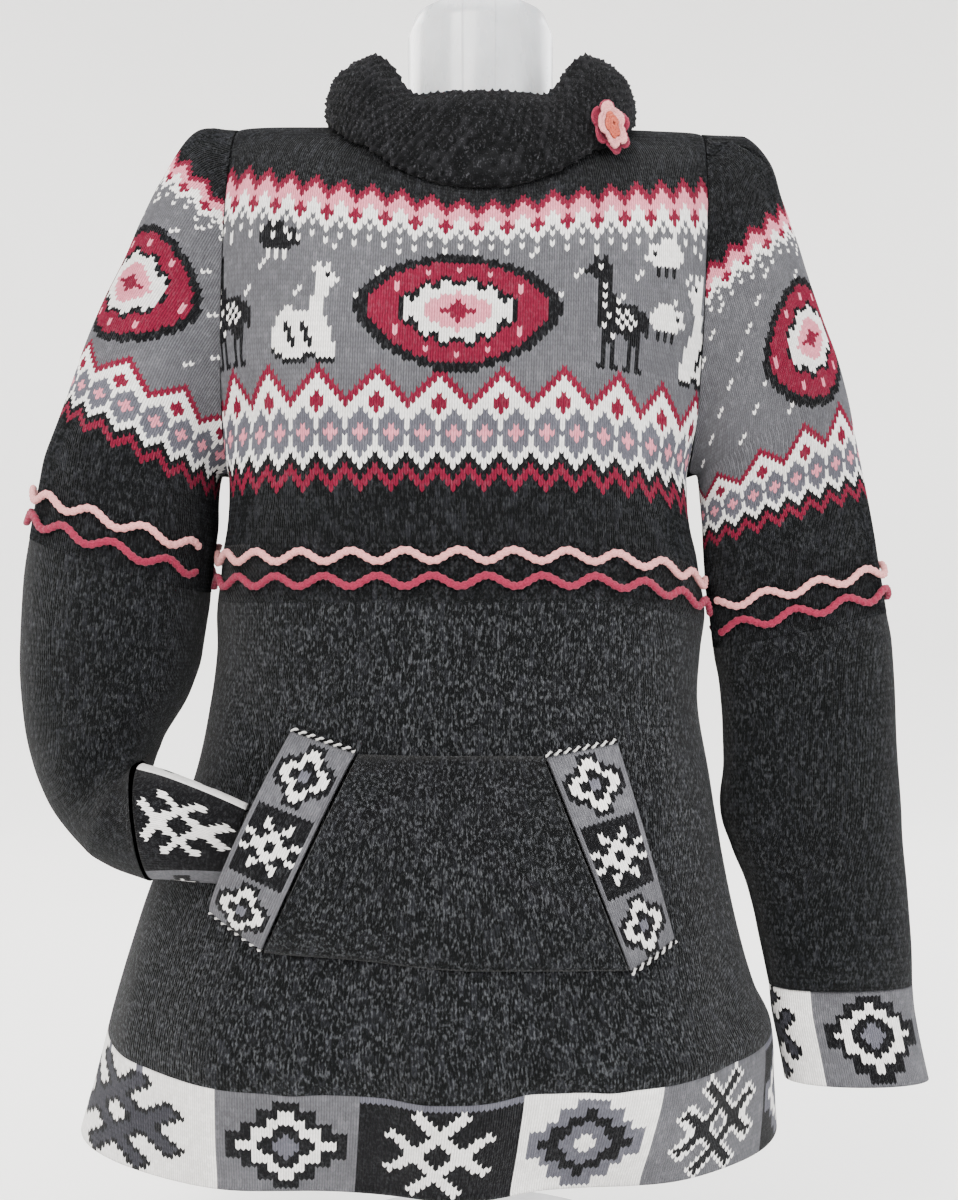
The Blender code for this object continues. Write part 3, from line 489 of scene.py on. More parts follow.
BACK_FOLDS = [
    Fold(-150, 590, -90, 540, 13, 2.6),
    Fold(-146, 540, -80, 505, 11, -2.0),
    Fold(130, 600, 76, 546, 12, 2.4),
    Fold(128, 530, 70, 498, 11, 2.0),
    Fold(-90, 450, -20, 436, 12, 2.2),
    Fold(0, 452, 84, 430, 11, -1.8),
    Fold(-60, 700, -70, 600, 18, 1.6),
    Fold(50, 690, 62, 600, 17, 1.6),
    Fold(-180, 330, -200, 140, 15, 2.8),
    Fold(-110, 320, -124, 130, 14, -2.6),
    Fold(-44, 290, -40, 125, 14, 2.8),
    Fold(24, 310, 30, 128, 15, -2.6),
    Fold(88, 300, 100, 130, 14, 2.6),
    Fold(146, 310, 160, 150, 13, -2.2),
]
SLEEVE_FOLDS = [
    Fold(-205, 600, -270, 560, 13, 3.0),
    Fold(-190, 560, -262, 520, 11, -2.4),
    Fold(-186, 520, -250, 470, 12, 2.6),
    Fold(-190, 470, -262, 452, 11, 2.2),
    Fold(-196, 440, -274, 400, 11, -2.6),
    Fold(-205, 410, -268, 366, 10, 3.0),
    Fold(-215, 392, -252, 340, 9, -3.2),
    Fold(-214, 372, -236, 318, 7, 2.6),
    Fold(-180, 720, -214, 690, 12, 1.6),
    Fold(160, 560, 226, 600, 12, 2.8),
    Fold(156, 520, 240, 552, 12, -2.6),
    Fold(160, 480, 250, 508, 11, 2.4),
    Fold(170, 430, 262, 446, 12, 2.6),
    Fold(176, 392, 256, 402, 11, -2.2),
    Fold(170, 340, 240, 352, 12, 2.4),
    Fold(186, 300, 268, 306, 10, 2.2),
    Fold(196, 262, 262, 252, 9, -2.0),
    Fold(208, 230, 270, 226, 8, 2.0),
    Fold(170, 716, 196, 690, 11, 1.6),
]
WOBBLE_COUNT = 9
WOBBLE_HEIGHT = 0.35
WOBBLE_LENGTHS = (55.0, 130.0)

# Squares of the hem, cuffs and pocket bands
HASH_SPREAD = 3.1
CROSS_HEIGHTS = (1.6, 3.9, 6.2, 8.0)
CROSS_WIDTHS = (8, 5.7, 3.6, 1.5)
NO_ARM = -9
HEM_EDGES_X = (-157.0, -70.0, 23.0, 105.0)
HEM_WALES = 190
HEM_COURSES = 22
HEM_CELL = 31
CUFF_COURSES = 21
CUFF_WALES = 78
Square = namedtuple("Square", "ground motif edge body ring centre")
WHITE_HASH = Square(WHITE, "hash", BLACK, SLATE, SLATE, SLATE)
GREY_CHAKANA = Square(GREY, "chakana", BLACK, WHITE, BLACK, MID)
BLACK_HASH = Square(BLACK, "hash", BLACK, WHITE, WHITE, WHITE)
WHITE_CHAKANA = Square(WHITE, "chakana", MID, BLACK, MID, WHITE)
GREY_HASH = Square(GREY, "hash", WHITE, BLACK, BLACK, BLACK)
BLACK_CHAKANA = Square(BLACK, "chakana", MID, WHITE, MID, BLACK)
HEM_SEQUENCE = (WHITE_HASH, GREY_CHAKANA, BLACK_HASH, WHITE_CHAKANA, GREY_HASH, BLACK_CHAKANA)
BAND_SEQUENCE = (GREY_CHAKANA, BLACK_HASH, GREY_CHAKANA)
CUFF_SEQUENCE = (GREY_CHAKANA, BLACK_HASH, WHITE_HASH)


# Curves and shape functions


def through(knots, values, at):
    """A smooth curve through the knots, read at many places."""
    knots, values = np.asarray(knots, float), np.asarray(values, float)
    slopes = np.empty_like(values)
    slopes[1:-1] = (values[2:] - values[:-2]) / (knots[2:] - knots[:-2])
    slopes[0] = (values[1] - values[0]) / (knots[1] - knots[0])
    slopes[-1] = (values[-1] - values[-2]) / (knots[-1] - knots[-2])
    at = np.clip(at, knots[0], knots[-1])
    i = np.clip(np.searchsorted(knots, at) - 1, 0, len(knots) - 2)
    step = knots[i + 1] - knots[i]
    t = (at - knots[i]) / step
    return (
        values[i] * (1 + 2 * t) * (1 - t) ** 2
        + slopes[i] * step * t * (1 - t) ** 2
        + values[i + 1] * t * t * (3 - 2 * t)
        + slopes[i + 1] * step * t * t * (t - 1)
    )


BODY_Z = [row.z for row in BODY]


def read(name, z):
    return through(BODY_Z, [getattr(row, name) for row in BODY], z)


def ease(low, high, at):
    """0 up to low, 1 from high, and smooth between."""
    t = np.clip((at - low) / (high - low), 0.0, 1.0)
    return t * t * (3 - 2 * t)


def signed_power(value, power):
    return np.sign(value) * np.abs(value) ** power


def unit(vectors):
    """The vectors, each at length 1."""
    return vectors / np.linalg.norm(vectors, axis=-1, keepdims=True)


def run_along(line):
    """How far along a line each of its points lies."""
    return np.concatenate([[0.0], np.cumsum(np.linalg.norm(np.diff(line, axis=0), axis=1))])


def resampled(at, along, line):
    """The line's points at other places along it."""
    return np.stack([np.interp(at, along, line[:, axis]) for axis in range(3)], axis=1)


def superellipse_rest(share, power):
    return np.maximum(0.0, 1 - np.minimum(1.0, np.abs(share)) ** power) ** (1 / power)


def shoulder_z(x):
    return SHOULDER_LEFT_Z + (SHOULDER_RIGHT_Z - SHOULDER_LEFT_Z) * (x - SHOULDER_FROM_X) / SHOULDER_SPAN


def armhole_depth(z, top):
    middle, half = (top + ARMHOLE_FOOT_Z) / 2, (top - ARMHOLE_FOOT_Z) / 2
    depth = ARMHOLE_HALF_DEPTH * superellipse_rest((z - middle) / half, ARMHOLE_ROUNDNESS)
    return np.where(z <= ARMHOLE_FOOT_Z, 0.0, depth)


def swelling(face, x, z, share):
    out = np.zeros(np.shape(x))
    if face == FRONT:
        for s in FRONT_SWELLINGS:
            across, up = (x - s.x) / s.half_width, (z - s.z) / s.half_height
            out = out + s.height * np.exp(-0.5 * (across * across + up * up))
    fade = 1 - ease(HEM_SIDE_Z, FLUTE_TOP_Z, z)
    out = out + fade * FLUTE_HEIGHT * np.cos(FLUTES * share + FLUTE_PHASE * face)
    return out * (1 - share**4)


def body_point(face, u, z, top):
    left, right = read("left", z), read("right", z)
    depth = read("front" if face == FRONT else "back", z)
    centre, reach = (right - left) / 2, (right + left) / 2
    edge = armhole_depth(z, top)
    edge = edge + face * ARMHOLE_CENTRE_Y * edge / ARMHOLE_HALF_DEPTH
    wide = reach / np.maximum(0.2, superellipse_rest(edge / depth, ROUNDNESS))
    turn = u * np.arcsin(np.minimum(1.0, (reach / wide) ** (ROUNDNESS / 2)))
    x = centre + wide * signed_power(np.sin(turn), 2 / ROUNDNESS)
    plain = depth * np.abs(np.cos(turn)) ** (2 / ROUNDNESS)
    share = np.clip((x - centre) / reach, -1.0, 1.0)
    return x, plain + swelling(face, x, z, share), edge, share


def side_top(u):
    return np.where(u < 0, SHOULDER_LEFT_Z, SHOULDER_RIGHT_Z)


def neck_share(x):
    return np.maximum(0.0, 1 - (x / NECK_HALF_WIDTH) ** 2)


def yoke_seam_z(u):
    return YOKE_SEAM_Z - YOKE_SEAM_DROP_RIGHT * ease(YOKE_SEAM_DROPS_FROM, 1.0, u)


def yoke_point(face, u, v):
    """Points on a yoke; v runs from 0 at its seam to 1 at the neckline or shoulder."""
    u, v = np.broadcast_arrays(np.asarray(u, float), np.asarray(v, float))
    foot = yoke_seam_z(u) + SEAM_GAP / 2
    drop = NECK_DROP_FRONT if face == FRONT else NECK_DROP_BACK
    neck_y = NECK_FRONT_Y if face == FRONT else NECK_BACK_Y
    low = foot + (SHOULDER_RIGHT_Z - foot) * np.minimum(v, 0.9)
    plain_x = body_point(face, u, low, side_top(u))[0]
    neck = neck_share(plain_x)
    z = foot + (shoulder_z(plain_x) - foot) * v - drop * neck * v**ROW_DIP_POWER
    x, plain, edge, share = body_point(face, u, z, shoulder_z(plain_x))
    top = shoulder_z(plain_x) - drop * neck
    tall = ROUND_OVER_SHOULDER + (ROUND_OVER_NECK - ROUND_OVER_SHOULDER) * neck
    rise = np.clip((z - top + tall) / tall, 0.0, 1.0)
    kept = neck_y * np.sqrt(neck) + edge * np.abs(share) ** 3
    y = kept + (plain - kept) * np.sqrt(1 - rise * rise)
    return np.stack([x, face * np.maximum(y, SEAM_GAP / 2), z], axis=-1)


def skirt_point(face, u, z):
    x, out, _, _ = body_point(face, u, z, side_top(u))
    return np.stack([x, face * np.maximum(out, SEAM_GAP / 2), z], axis=-1)


def front_y(x, z):
    left, right = read("left", z), read("right", z)
    centre, reach = (right - left) / 2, (right + left) / 2
    share = np.clip((x - centre) / reach, -1.0, 1.0)
    depth = read("front", z) * superellipse_rest(share, ROUNDNESS)
    return -(depth + swelling(FRONT, x, z, share))


def on_front(x, z, out, forward=0.0):
    step = 1.0
    slope_x = (front_y(x + step, z) - front_y(x - step, z)) / (2 * step)
    slope_z = (front_y(x, z + step) - front_y(x, z - step)) / (2 * step)
    normal = np.stack([slope_x, -np.ones_like(slope_x), slope_z], axis=-1)
    return np.stack([x, front_y(x, z) - forward, z], axis=-1) + unit(normal) * np.asarray(out)[..., None]


def band_top_z(face, u):
    middle = BAND_TOP_FRONT_Z if face == FRONT else BAND_TOP_SIDE_Z - BACK_EDGE_DROP
    return middle + (BAND_TOP_SIDE_Z - middle) * u * u


def hem_z(face, u):
    middle = HEM_FRONT_Z if face == FRONT else HEM_SIDE_Z - BACK_EDGE_DROP
    return middle + (HEM_SIDE_Z - middle) * u * u


def section_points(sections, k, turn, out=0.0):
    """Points of a sleeve at section number k, whole or between; turn 0 is the outer edge."""
    numbers = np.arange(len(sections))
    table = np.array(sections, float)
    ox, oz, ix, iz, cy, deep = (through(numbers, table[:, c], k) for c in range(6))
    half_x, half_z = (ox - ix) / 2, (oz - iz) / 2
    grown = 1 + out / np.hypot(half_x, half_z)
    across = signed_power(np.cos(turn), 2 / ARMHOLE_ROUNDNESS)
    forward = signed_power(np.sin(turn), 2 / ARMHOLE_ROUNDNESS)
    x = (ox + ix) / 2 + half_x * grown * across
    z = (oz + iz) / 2 + half_z * grown * across
    return np.stack([x, cy - (deep + out) * forward, z], axis=-1)


# Folds and wobble, the same field for neighbours so that they meet


def make_wobbles():
    rng = np.random.default_rng(SEED)
    directions = unit(rng.normal(size=(WOBBLE_COUNT, 3)))
    lengths = rng.uniform(*WOBBLE_LENGTHS, WOBBLE_COUNT)
    return directions * (2 * math.pi / lengths)[:, None], rng.uniform(0, 2 * math.pi, WOBBLE_COUNT)


WOBBLE_WAVES, WOBBLE_PHASES = make_wobbles()


def wobble(points):
    phases = points @ WOBBLE_WAVES.T + WOBBLE_PHASES
    return WOBBLE_HEIGHT * np.sin(phases).sum(axis=-1) / math.sqrt(WOBBLE_COUNT)


def fold_height(points, folds):
    x, z = points[..., 0], points[..., 2]
    out = np.zeros(x.shape)
    for f in folds:
        run_x, run_z = f.x1 - f.x0, f.z1 - f.z0
        share = np.clip(((x - f.x0) * run_x + (z - f.z0) * run_z) / (run_x**2 + run_z**2), 0, 1)
        away = np.hypot(x - f.x0 - share * run_x, z - f.z0 - share * run_z)
        taper = 0.45 + 0.55 * np.sin(math.pi * np.clip(share, 0.02, 0.98))
        out += f.height * taper * np.exp(-((away / f.width) ** 2))
    return out


def body_soft(face):
    folds = FRONT_FOLDS if face == FRONT else BACK_FOLDS

    def field(points):
        return (wobble(points) + fold_height(points, folds)) * ease(0.0, 25.0, np.abs(points[..., 1]))

    return field


def sleeve_soft(points):
    x = points[..., 0]
    from_armhole = np.minimum(np.abs(x + 166), np.abs(x - 146))
    at_armhole = np.maximum(0.0, 1 - from_armhole / 14)
    folded = fold_height(points, SLEEVE_FOLDS)
    return (wobble(points) + folded) * (1 - at_armhole)


# Objects


def finish_piece(thing, finish, node):
    thing.data.materials.append(finish)
    bpy.context.scene.collection.objects.link(thing)
    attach(thing, "root")
    if node:
        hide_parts(node)
    return thing


def mesh_object(name, points, faces, uvs=None, colours=None):
    """A smooth mesh; uvs and colours are given for each corner of each face."""
    mesh = bpy.data.meshes.new(name)
    mesh.from_pydata((np.asarray(points).reshape(-1, 3) * MM).tolist(), [], np.asarray(faces).tolist())
    if uvs is not None:
        layer = mesh.uv_layers.new(name="knit")
        layer.data.foreach_set("uv", np.asarray(uvs, np.float32).reshape(-1))
    if colours is not None:
        layer = mesh.color_attributes.new(name="yarn", type="FLOAT_COLOR", domain="CORNER")
        layer.data.foreach_set("color", np.asarray(colours, np.float32).reshape(-1))
    mesh.shade_smooth()
    return bpy.data.objects.new(name, mesh)


def plain_object(name, points, faces):
    """A smooth mesh from points in metres."""
    mesh = bpy.data.meshes.new(name)
    mesh.from_pydata(points.tolist(), [], faces)
    mesh.shade_smooth()
    return bpy.data.objects.new(name, mesh)


def grid_normals(points):
    across, up = np.gradient(points, axis=1), np.gradient(points, axis=0)
    normals = np.cross(across, up)
    return normals / np.maximum(np.linalg.norm(normals, axis=-1, keepdims=True), 1e-9)


def streak(values):
    """A stitch shares a little of its fleck with the one above it."""
    return (values + 0.35 * np.roll(values, 1, axis=0)) / 1.35


def stitch_colours(chart, seed):
    """The colour of every stitch, with the marl of its yarn."""
    rng = np.random.default_rng(seed)
    marl = np.clip((streak(rng.random(chart.shape)) - 0.5) * 2.2, 0, 1) ** 1.3
    marl = marl * FLECK_SHARE[chart]
    shade = 1 + 0.16 * (rng.random(chart.shape) - 0.5)
    mixed = YARNS[chart] * (1 - marl[..., None]) + FLECKS[chart] * marl[..., None]
    return mixed * shade[..., None]


def knit_panel(name, curves_at, chart, soft, seed, purl=None, middle=None, gauge=None, sub=2):
    """A knitted surface. curves_at(levels) gives the course lines at levels counted in courses.

    Stitches are counted along each line: spread evenly, or at a fixed gauge out from its middle,
    where those that fall past an edge are left out.
    """
    courses, wales = chart.shape
    columns = wales * sub + 1
    place = np.arange(columns) / sub
    part = np.arange(columns) % sub
    points = np.empty((courses + 1, columns, 3))
    outside = np.zeros((courses + 1, columns), bool)
    inner = (np.arange(courses + 1) % courses > 0).astype(float)
    for dip in np.unique(DIPS[sub]):
        chosen = np.flatnonzero(DIPS[sub][part] == dip)
        lines = curves_at(np.arange(courses + 1) + dip * inner)
        steps = np.linalg.norm(np.diff(lines, axis=1), axis=2)
        along = np.concatenate([np.zeros((courses + 1, 1)), np.cumsum(steps, axis=1)], axis=1)
        for r in range(courses + 1):
            if gauge is None:
                target = place[chosen] / wales * along[r, -1]
            else:
                start = np.interp(middle, np.linspace(0, 1, SAMPLES), along[r])
                width = gauge[r] if np.ndim(gauge) else gauge
                target = start + (place[chosen] - wales / 2) * width
            outside[r, chosen] = (target < 0) | (target > along[r, -1])
            for axis in range(3):
                points[r, chosen, axis] = np.interp(target, along[r], lines[r, :, axis])
    normals = grid_normals(points)
    normals[outside] = 0
    raised = LEGS[sub][part][None, :]
    if purl is not None:
        raised = raised * (1 - purl[:, None])
    points = points + normals * (soft(points) + raised)[..., None]
    corner = np.arange((courses + 1) * columns).reshape(courses + 1, columns)
    faces = np.stack([corner[:-1, :-1], corner[:-1, 1:], corner[1:, 1:], corner[1:, :-1]], axis=-1)
    kept = ~(outside[:-1, :-1] & outside[:-1, 1:] & outside[1:, 1:] & outside[1:, :-1])
    rows, cells = np.nonzero(kept)
    uvs = np.stack([
        np.stack([cells / sub, rows], axis=-1),
        np.stack([(cells + 1) / sub, rows], axis=-1),
        np.stack([(cells + 1) / sub, rows + 1], axis=-1),
        np.stack([cells / sub, rows + 1], axis=-1),
    ], axis=1)
    flag = np.zeros(len(rows)) if purl is None else purl[rows]
    shade = stitch_colours(chart, seed)[rows, cells // sub]
    colours = np.repeat(np.concatenate([shade, flag[:, None]], axis=1)[:, None, :], 4, axis=1)
    return mesh_object(name, points, faces[kept], uvs, colours)


def thicken(thing, wall, offset=-1):
    shell = thing.modifiers.new("wall", "SOLIDIFY")
    shell.thickness = wall * MM
    shell.offset = offset
    shell.use_even_offset = False


# Charts


def lay_chart(chart, motif, wale, course):
    """Stitches of a small drawing, with its lowest course at the given one and centred on a wale."""
    shades = dict(LETTERS, **motif.shades)
    for up, line in enumerate(reversed(motif.chart)):
        drawn = line[::-1] if motif.mirrored else line
        for k, letter in enumerate(drawn):
            at = wale - len(drawn) // 2 + k
            if letter in shades and 0 <= at < chart.shape[1] and course + up < chart.shape[0]:
                chart[course + up, at] = shades[letter]


def lay_border(chart, first, peak_wale):
    """The tall zigzag border with its diamonds, 24 courses from the first."""
    wales = np.arange(chart.shape[1])
    a = np.abs((wales - peak_wale + 6) % 12 - 6)
    b = np.abs(a % 6 - 3)
    for r in range(24):
        line = chart[first + r]
        peak, foot = 23 - a, 7.5 + b
        line[(r <= peak) & (r > foot - 7)] = CRIMSON
        line[(r <= peak - 2) & (r > foot - 5)] = BLACK
        line[(r <= peak - 2) & (r > foot - 3)] = WHITE
        away = abs(r - 11)
        if away < len(DIAMOND_HALF_WIDTHS):
            line[b <= DIAMOND_HALF_WIDTHS[away]] = MID
        line[(b == 0) & (away <= 1)] = PALE
        line[(b == 1) & (away == 0)] = PALE
        line[(a == 0) & (15 <= r <= 18)] = CRIMSON
        line[(a <= 1) & (16 <= r <= 17)] = CRIMSON
        line[r <= foot - 7] = DARK


def lay_scallops(chart, top, centre_wale):
    """The small border under the neck: a zigzag, a pale band and small diamonds, from its top course."""
    wales = np.arange(chart.shape[1])
    away = np.abs((wales - centre_wale + 3) % 6 - 3)
    for t in range(13):
        row = chart[top - t]
        below = t - (3 - away)
        row[(below >= 5) & (t <= 10 - away)] = WHITE
        row[(below >= 2) & (below <= 4) & (t <= 10 - away)] = PALE
        row[(below == 0) | (below == 1)] = CRIMSON
        row[(away == 0) & (6 <= t <= 8)] = CRIMSON
        row[(away == 1) & (t == 7)] = CRIMSON
        row[(away == 3) & (t in (9, 11))] = WHITE
        row[(away == 0) & (t == 12)] = WHITE


def lay_snow(chart, low, high):
    wales = np.arange(chart.shape[1])
    for r in range(low, high):
        if r % 5 == 1:
            chart[r, (wales - 4 * (r // 5)) % 13 == 0] = WHITE
        if r % 5 == 2:
            chart[r, (wales - 4 * (r // 5)) % 13 == 1] = WHITE


def lay_medallion(chart, wale, course, half_wide, half_tall):
    """A plain stepped medallion in rings of black, crimson, white and pink."""
    wales = np.arange(chart.shape[1]) - wale
    for r in range(course - half_tall, course + half_tall + 1):
        up = r - course
        ring = (np.abs(wales) / (half_wide + 0.5)) ** 1.7 + (abs(up) / (half_tall + 0.5)) ** 1.7
        tooth = 0.07 * (np.abs(wales) % 4 < 2)
        line = chart[r]
        line[ring < 1.0] = BLACK
        line[ring < 0.78] = CRIMSON
        line[ring + tooth < 0.42] = BLACK
        line[ring + tooth < 0.34] = WHITE
        line[ring < 0.15] = PALE
        line[(np.abs(wales) + abs(up) * 1.6) < 3.5] = CRIMSON
        line[(ring > 0.5) & (ring < 0.66) & (np.abs(wales) % 6 == 0)] = PALE


def stepped_cross(x, y, grow):
    """A cross whose arms widen in steps towards its middle."""
    across, up = np.abs(x), np.abs(y)
    reach = np.select([up <= height + grow for height in CROSS_HEIGHTS], CROSS_WIDTHS, NO_ARM)
    return across <= reach + grow


def square_stitch(square, x, y):
    """The yarn at a place in a square; x and y run from -10 to 10."""
    yarn = np.full(np.shape(x), square.ground)
    if square.motif == "chakana":
        yarn[stepped_cross(x, y, 0.7)] = square.edge
        yarn[stepped_cross(x, y, -0.7)] = square.body
        yarn[stepped_cross(x * 2.1, y * 2.1, 0.6)] = square.ring
        yarn[(np.abs(x) + np.abs(y) * 0.9) < 2.1] = square.centre
        return yarn
    turned, leaning = x - 0.75 * y, x + 0.75 * y
    bars = np.minimum(np.abs(np.abs(turned) - HASH_SPREAD), np.abs(np.abs(leaning) - HASH_SPREAD))
    along = np.maximum(np.abs(turned), np.abs(leaning))
    if square.edge != square.ground:
        yarn[(bars < 1.75) & (along < 10.0) & (np.abs(x) < 9.0)] = square.edge
    yarn[(bars < 1.0) & (along < 9.3) & (np.abs(x) < 8.3)] = square.body
    return yarn


def squares_chart(courses, edges, sequence, first=0):
    """A band of squares side by side; edges are the wales where they meet."""
    chart = np.zeros((courses, edges[-1]), int)
    rows = (np.arange(courses) + 0.5) / courses * 20 - 10
    for k, (low, high) in enumerate(zip(edges, edges[1:])):
        across = (np.arange(low, high) + 0.5 - low) / (high - low) * 20 - 10
        x, y = np.meshgrid(across, rows)
        chart[:, low:high] = square_stitch(sequence[(first + k) % len(sequence)], x, y)
    return chart


# Materials


class Nodes:
    """A small helper that adds shader nodes and joins them."""

    def __init__(self, name):
        self.material = bpy.data.materials.new(name)
        self.material.use_nodes = True
        self.tree = self.material.node_tree
        self.shader = self.tree.nodes["Principled BSDF"]

    def add(self, kind, **values):
        node = self.tree.nodes.new(kind)
        for key, value in values.items():
            setattr(node, key, value)
        return node

    def join(self, source, target):
        self.tree.links.new(source, target)

    def math(self, operation, first, second=None, third=None):
        node = self.add("ShaderNodeMath", operation=operation)
        for socket, value in zip(node.inputs, (first, second, third)):
            if value is None:
                continue
            if isinstance(value, (int, float)):
                socket.default_value = value
            else:
                self.join(value, socket)
        return node.outputs[0]

    def noise(self, scale, detail=3.0, roughness=0.55, stretch=None, vector=None):
        place = vector or self.add("ShaderNodeTexCoord").outputs["Object"]
        if stretch:
            mapping = self.add("ShaderNodeMapping")
            mapping.inputs["Scale"].default_value = stretch
            self.join(place, mapping.inputs["Vector"])
            place = mapping.outputs[0]
        node = self.add("ShaderNodeTexNoise")
        node.inputs["Scale"].default_value = scale
        node.inputs["Detail"].default_value = detail
        node.inputs["Roughness"].default_value = roughness
        self.join(place, node.inputs["Vector"])
        return node.outputs["Fac"]

    def mix(self, share, first, second, blend="MIX"):
        node = self.add("ShaderNodeMix", data_type="RGBA", blend_type=blend)
        for socket, value in zip((node.inputs[0], node.inputs[6], node.inputs[7]), (share, first, second)):
            if isinstance(value, (int, float)):
                socket.default_value = value
            elif isinstance(value, tuple):
                socket.default_value = (*value, 1)
            else:
                self.join(value, socket)
        return node.outputs[2]

    def spread(self, value, low, high, to_low, to_high):
        node = self.add("ShaderNodeMapRange")
        for socket, number in zip(node.inputs[1:5], (low, high, to_low, to_high)):
            socket.default_value = number
        self.join(value, node.inputs[0])
        return node.outputs[0]

    def bump(self, height, strength, distance):
        node = self.add("ShaderNodeBump")
        node.inputs["Strength"].default_value = strength
        node.inputs["Distance"].default_value = distance
        self.join(height, node.inputs["Height"])
        self.join(node.outputs[0], self.shader.inputs["Normal"])

    def set(self, **values):
        for key, value in values.items():
            self.shader.inputs[key.replace("_", " ")].default_value = value


def stitch_height(nodes):
    """The rounded legs of plain stitches, or the dashes of purl ones, from the stitch count."""
    count = nodes.add("ShaderNodeUVMap", uv_map="knit").outputs[0]
    parts = nodes.add("ShaderNodeSeparateXYZ")
    nodes.join(count, parts.inputs[0])
    across, up = parts.outputs[0], parts.outputs[1]

    def hill(value, times, shift, power):
        turned = nodes.math("FRACT", nodes.math("MULTIPLY_ADD", value, float(times), float(shift)))
        away = nodes.math("ABSOLUTE", nodes.math("MULTIPLY_ADD", turned, 2.0, -1.0))
        return nodes.math("POWER", nodes.math("SUBTRACT", 1.0, away), power)

    leg = hill(across, 2, 0, 0.7)
    loop = nodes.math("MULTIPLY_ADD", hill(up, 1, 0, 0.6), 0.5, 0.5)
    plain = nodes.math("MULTIPLY", leg, loop)
    dash = nodes.math("MULTIPLY", hill(up, 1, 0.25, 0.9), nodes.math("POWER", hill(across, 1, 0, 0.5), 0.5))
    yarn = nodes.add("ShaderNodeAttribute", attribute_name="yarn")
    kind = nodes.add("ShaderNodeMix", data_type="FLOAT")
    nodes.join(yarn.outputs["Alpha"], kind.inputs[0])
    nodes.join(plain, kind.inputs[2])
    nodes.join(dash, kind.inputs[3])
    return yarn.outputs["Color"], kind.outputs[0]


def knit_material(name, groove=0.5, fleck=0.5, sheen=0.04, depth=0.0007):
    """Knitted wool: yarn colour from the charts, marl, painted shade in the grooves between legs, fibre and
    a soft sheen.
    """
    nodes = Nodes(name)
    colour, height = stitch_height(nodes)
    marl = nodes.noise(640.0, 2.0, 0.6, stretch=(1.0, 1.0, 0.5))
    marl_share = nodes.spread(marl, 0.5, 0.68, 0.0, fleck)
    lighter = nodes.mix(1.0, colour, (0.046, 0.048, 0.052), "ADD")
    coloured = nodes.mix(marl_share, colour, lighter)
    worn = nodes.noise(14.0, 3.0)
    hue = nodes.add("ShaderNodeHueSaturation")
    nodes.join(nodes.spread(worn, 0.3, 0.7, 0.88, 1.1), hue.inputs["Value"])
    nodes.join(coloured, hue.inputs["Color"])
    # Painted shade: the base colour is darkened by groove in the low places between stitch legs and loops,
    # where shade falls.
    dark = nodes.mix(1.0, hue.outputs[0], (1 - groove,) * 3, "MULTIPLY")
    shaded = nodes.mix(nodes.spread(height, 0.05, 0.7, 0.0, 1.0), dark, hue.outputs[0])
    nodes.join(shaded, nodes.shader.inputs["Base Color"])
    fibre = nodes.noise(1500.0, 4.0, 0.7)
    nodes.join(nodes.spread(fibre, 0.3, 0.7, 0.82, 0.98), nodes.shader.inputs["Roughness"])
    tall = nodes.math("MULTIPLY_ADD", fibre, 0.35, height)
    nodes.bump(tall, 0.9, depth)
    nodes.set(Sheen_Weight=sheen, Sheen_Roughness=0.4, Specular_IOR_Level=0.08)
    return nodes.material


def yarn_material(name, colour, light, sheen=0.1):
    """One thick yarn: twisted strands, fibre and small changes of colour."""
    nodes = Nodes(name)
    strands = nodes.noise(900.0, 3.0, 0.6, stretch=(1.0, 1.0, 1.8))
    coloured = nodes.mix(nodes.spread(strands, 0.3, 0.7, 0.0, 1.0), tuple(c * 0.72 for c in colour), light)
    nodes.join(coloured, nodes.shader.inputs["Base Color"])
    fibre = nodes.noise(2200.0, 4.0, 0.7)
    nodes.join(nodes.spread(fibre, 0.3, 0.7, 0.8, 0.97), nodes.shader.inputs["Roughness"])
    nodes.bump(nodes.math("ADD", fibre, strands), 0.8, 0.0005)
    nodes.set(Sheen_Weight=sheen, Sheen_Roughness=0.5, Specular_IOR_Level=0.12)
    return nodes.material


def chunky_material(name):
    """The collar's thick dark marl, with painted shade: stitches lighter on their crowns and near black
    between.
    """
    nodes = Nodes(name)
    crown = nodes.add("ShaderNodeAttribute", attribute_name="yarn")
    marl = nodes.noise(820.0, 2.0, 0.6, stretch=(1.0, 1.0, 0.6))
    flecked = nodes.mix(nodes.spread(marl, 0.57, 0.66, 0.0, 0.9), crown.outputs["Color"], linear(66, 66, 69))
    # Painted shade: the crown share in the alpha turns the low places between stitches near black.
    shaded = nodes.mix(crown.outputs["Alpha"], linear(5, 5, 6), flecked)
    nodes.join(shaded, nodes.shader.inputs["Base Color"])
    fibre = nodes.noise(1500.0, 4.0, 0.7)
    nodes.join(nodes.spread(fibre, 0.3, 0.7, 0.82, 0.98), nodes.shader.inputs["Roughness"])
    nodes.bump(nodes.math("MULTIPLY_ADD", marl, 0.7, fibre), 0.9, 0.0008)
    nodes.set(Sheen_Weight=0.02, Sheen_Roughness=0.4, Specular_IOR_Level=0.05)
    return nodes.material


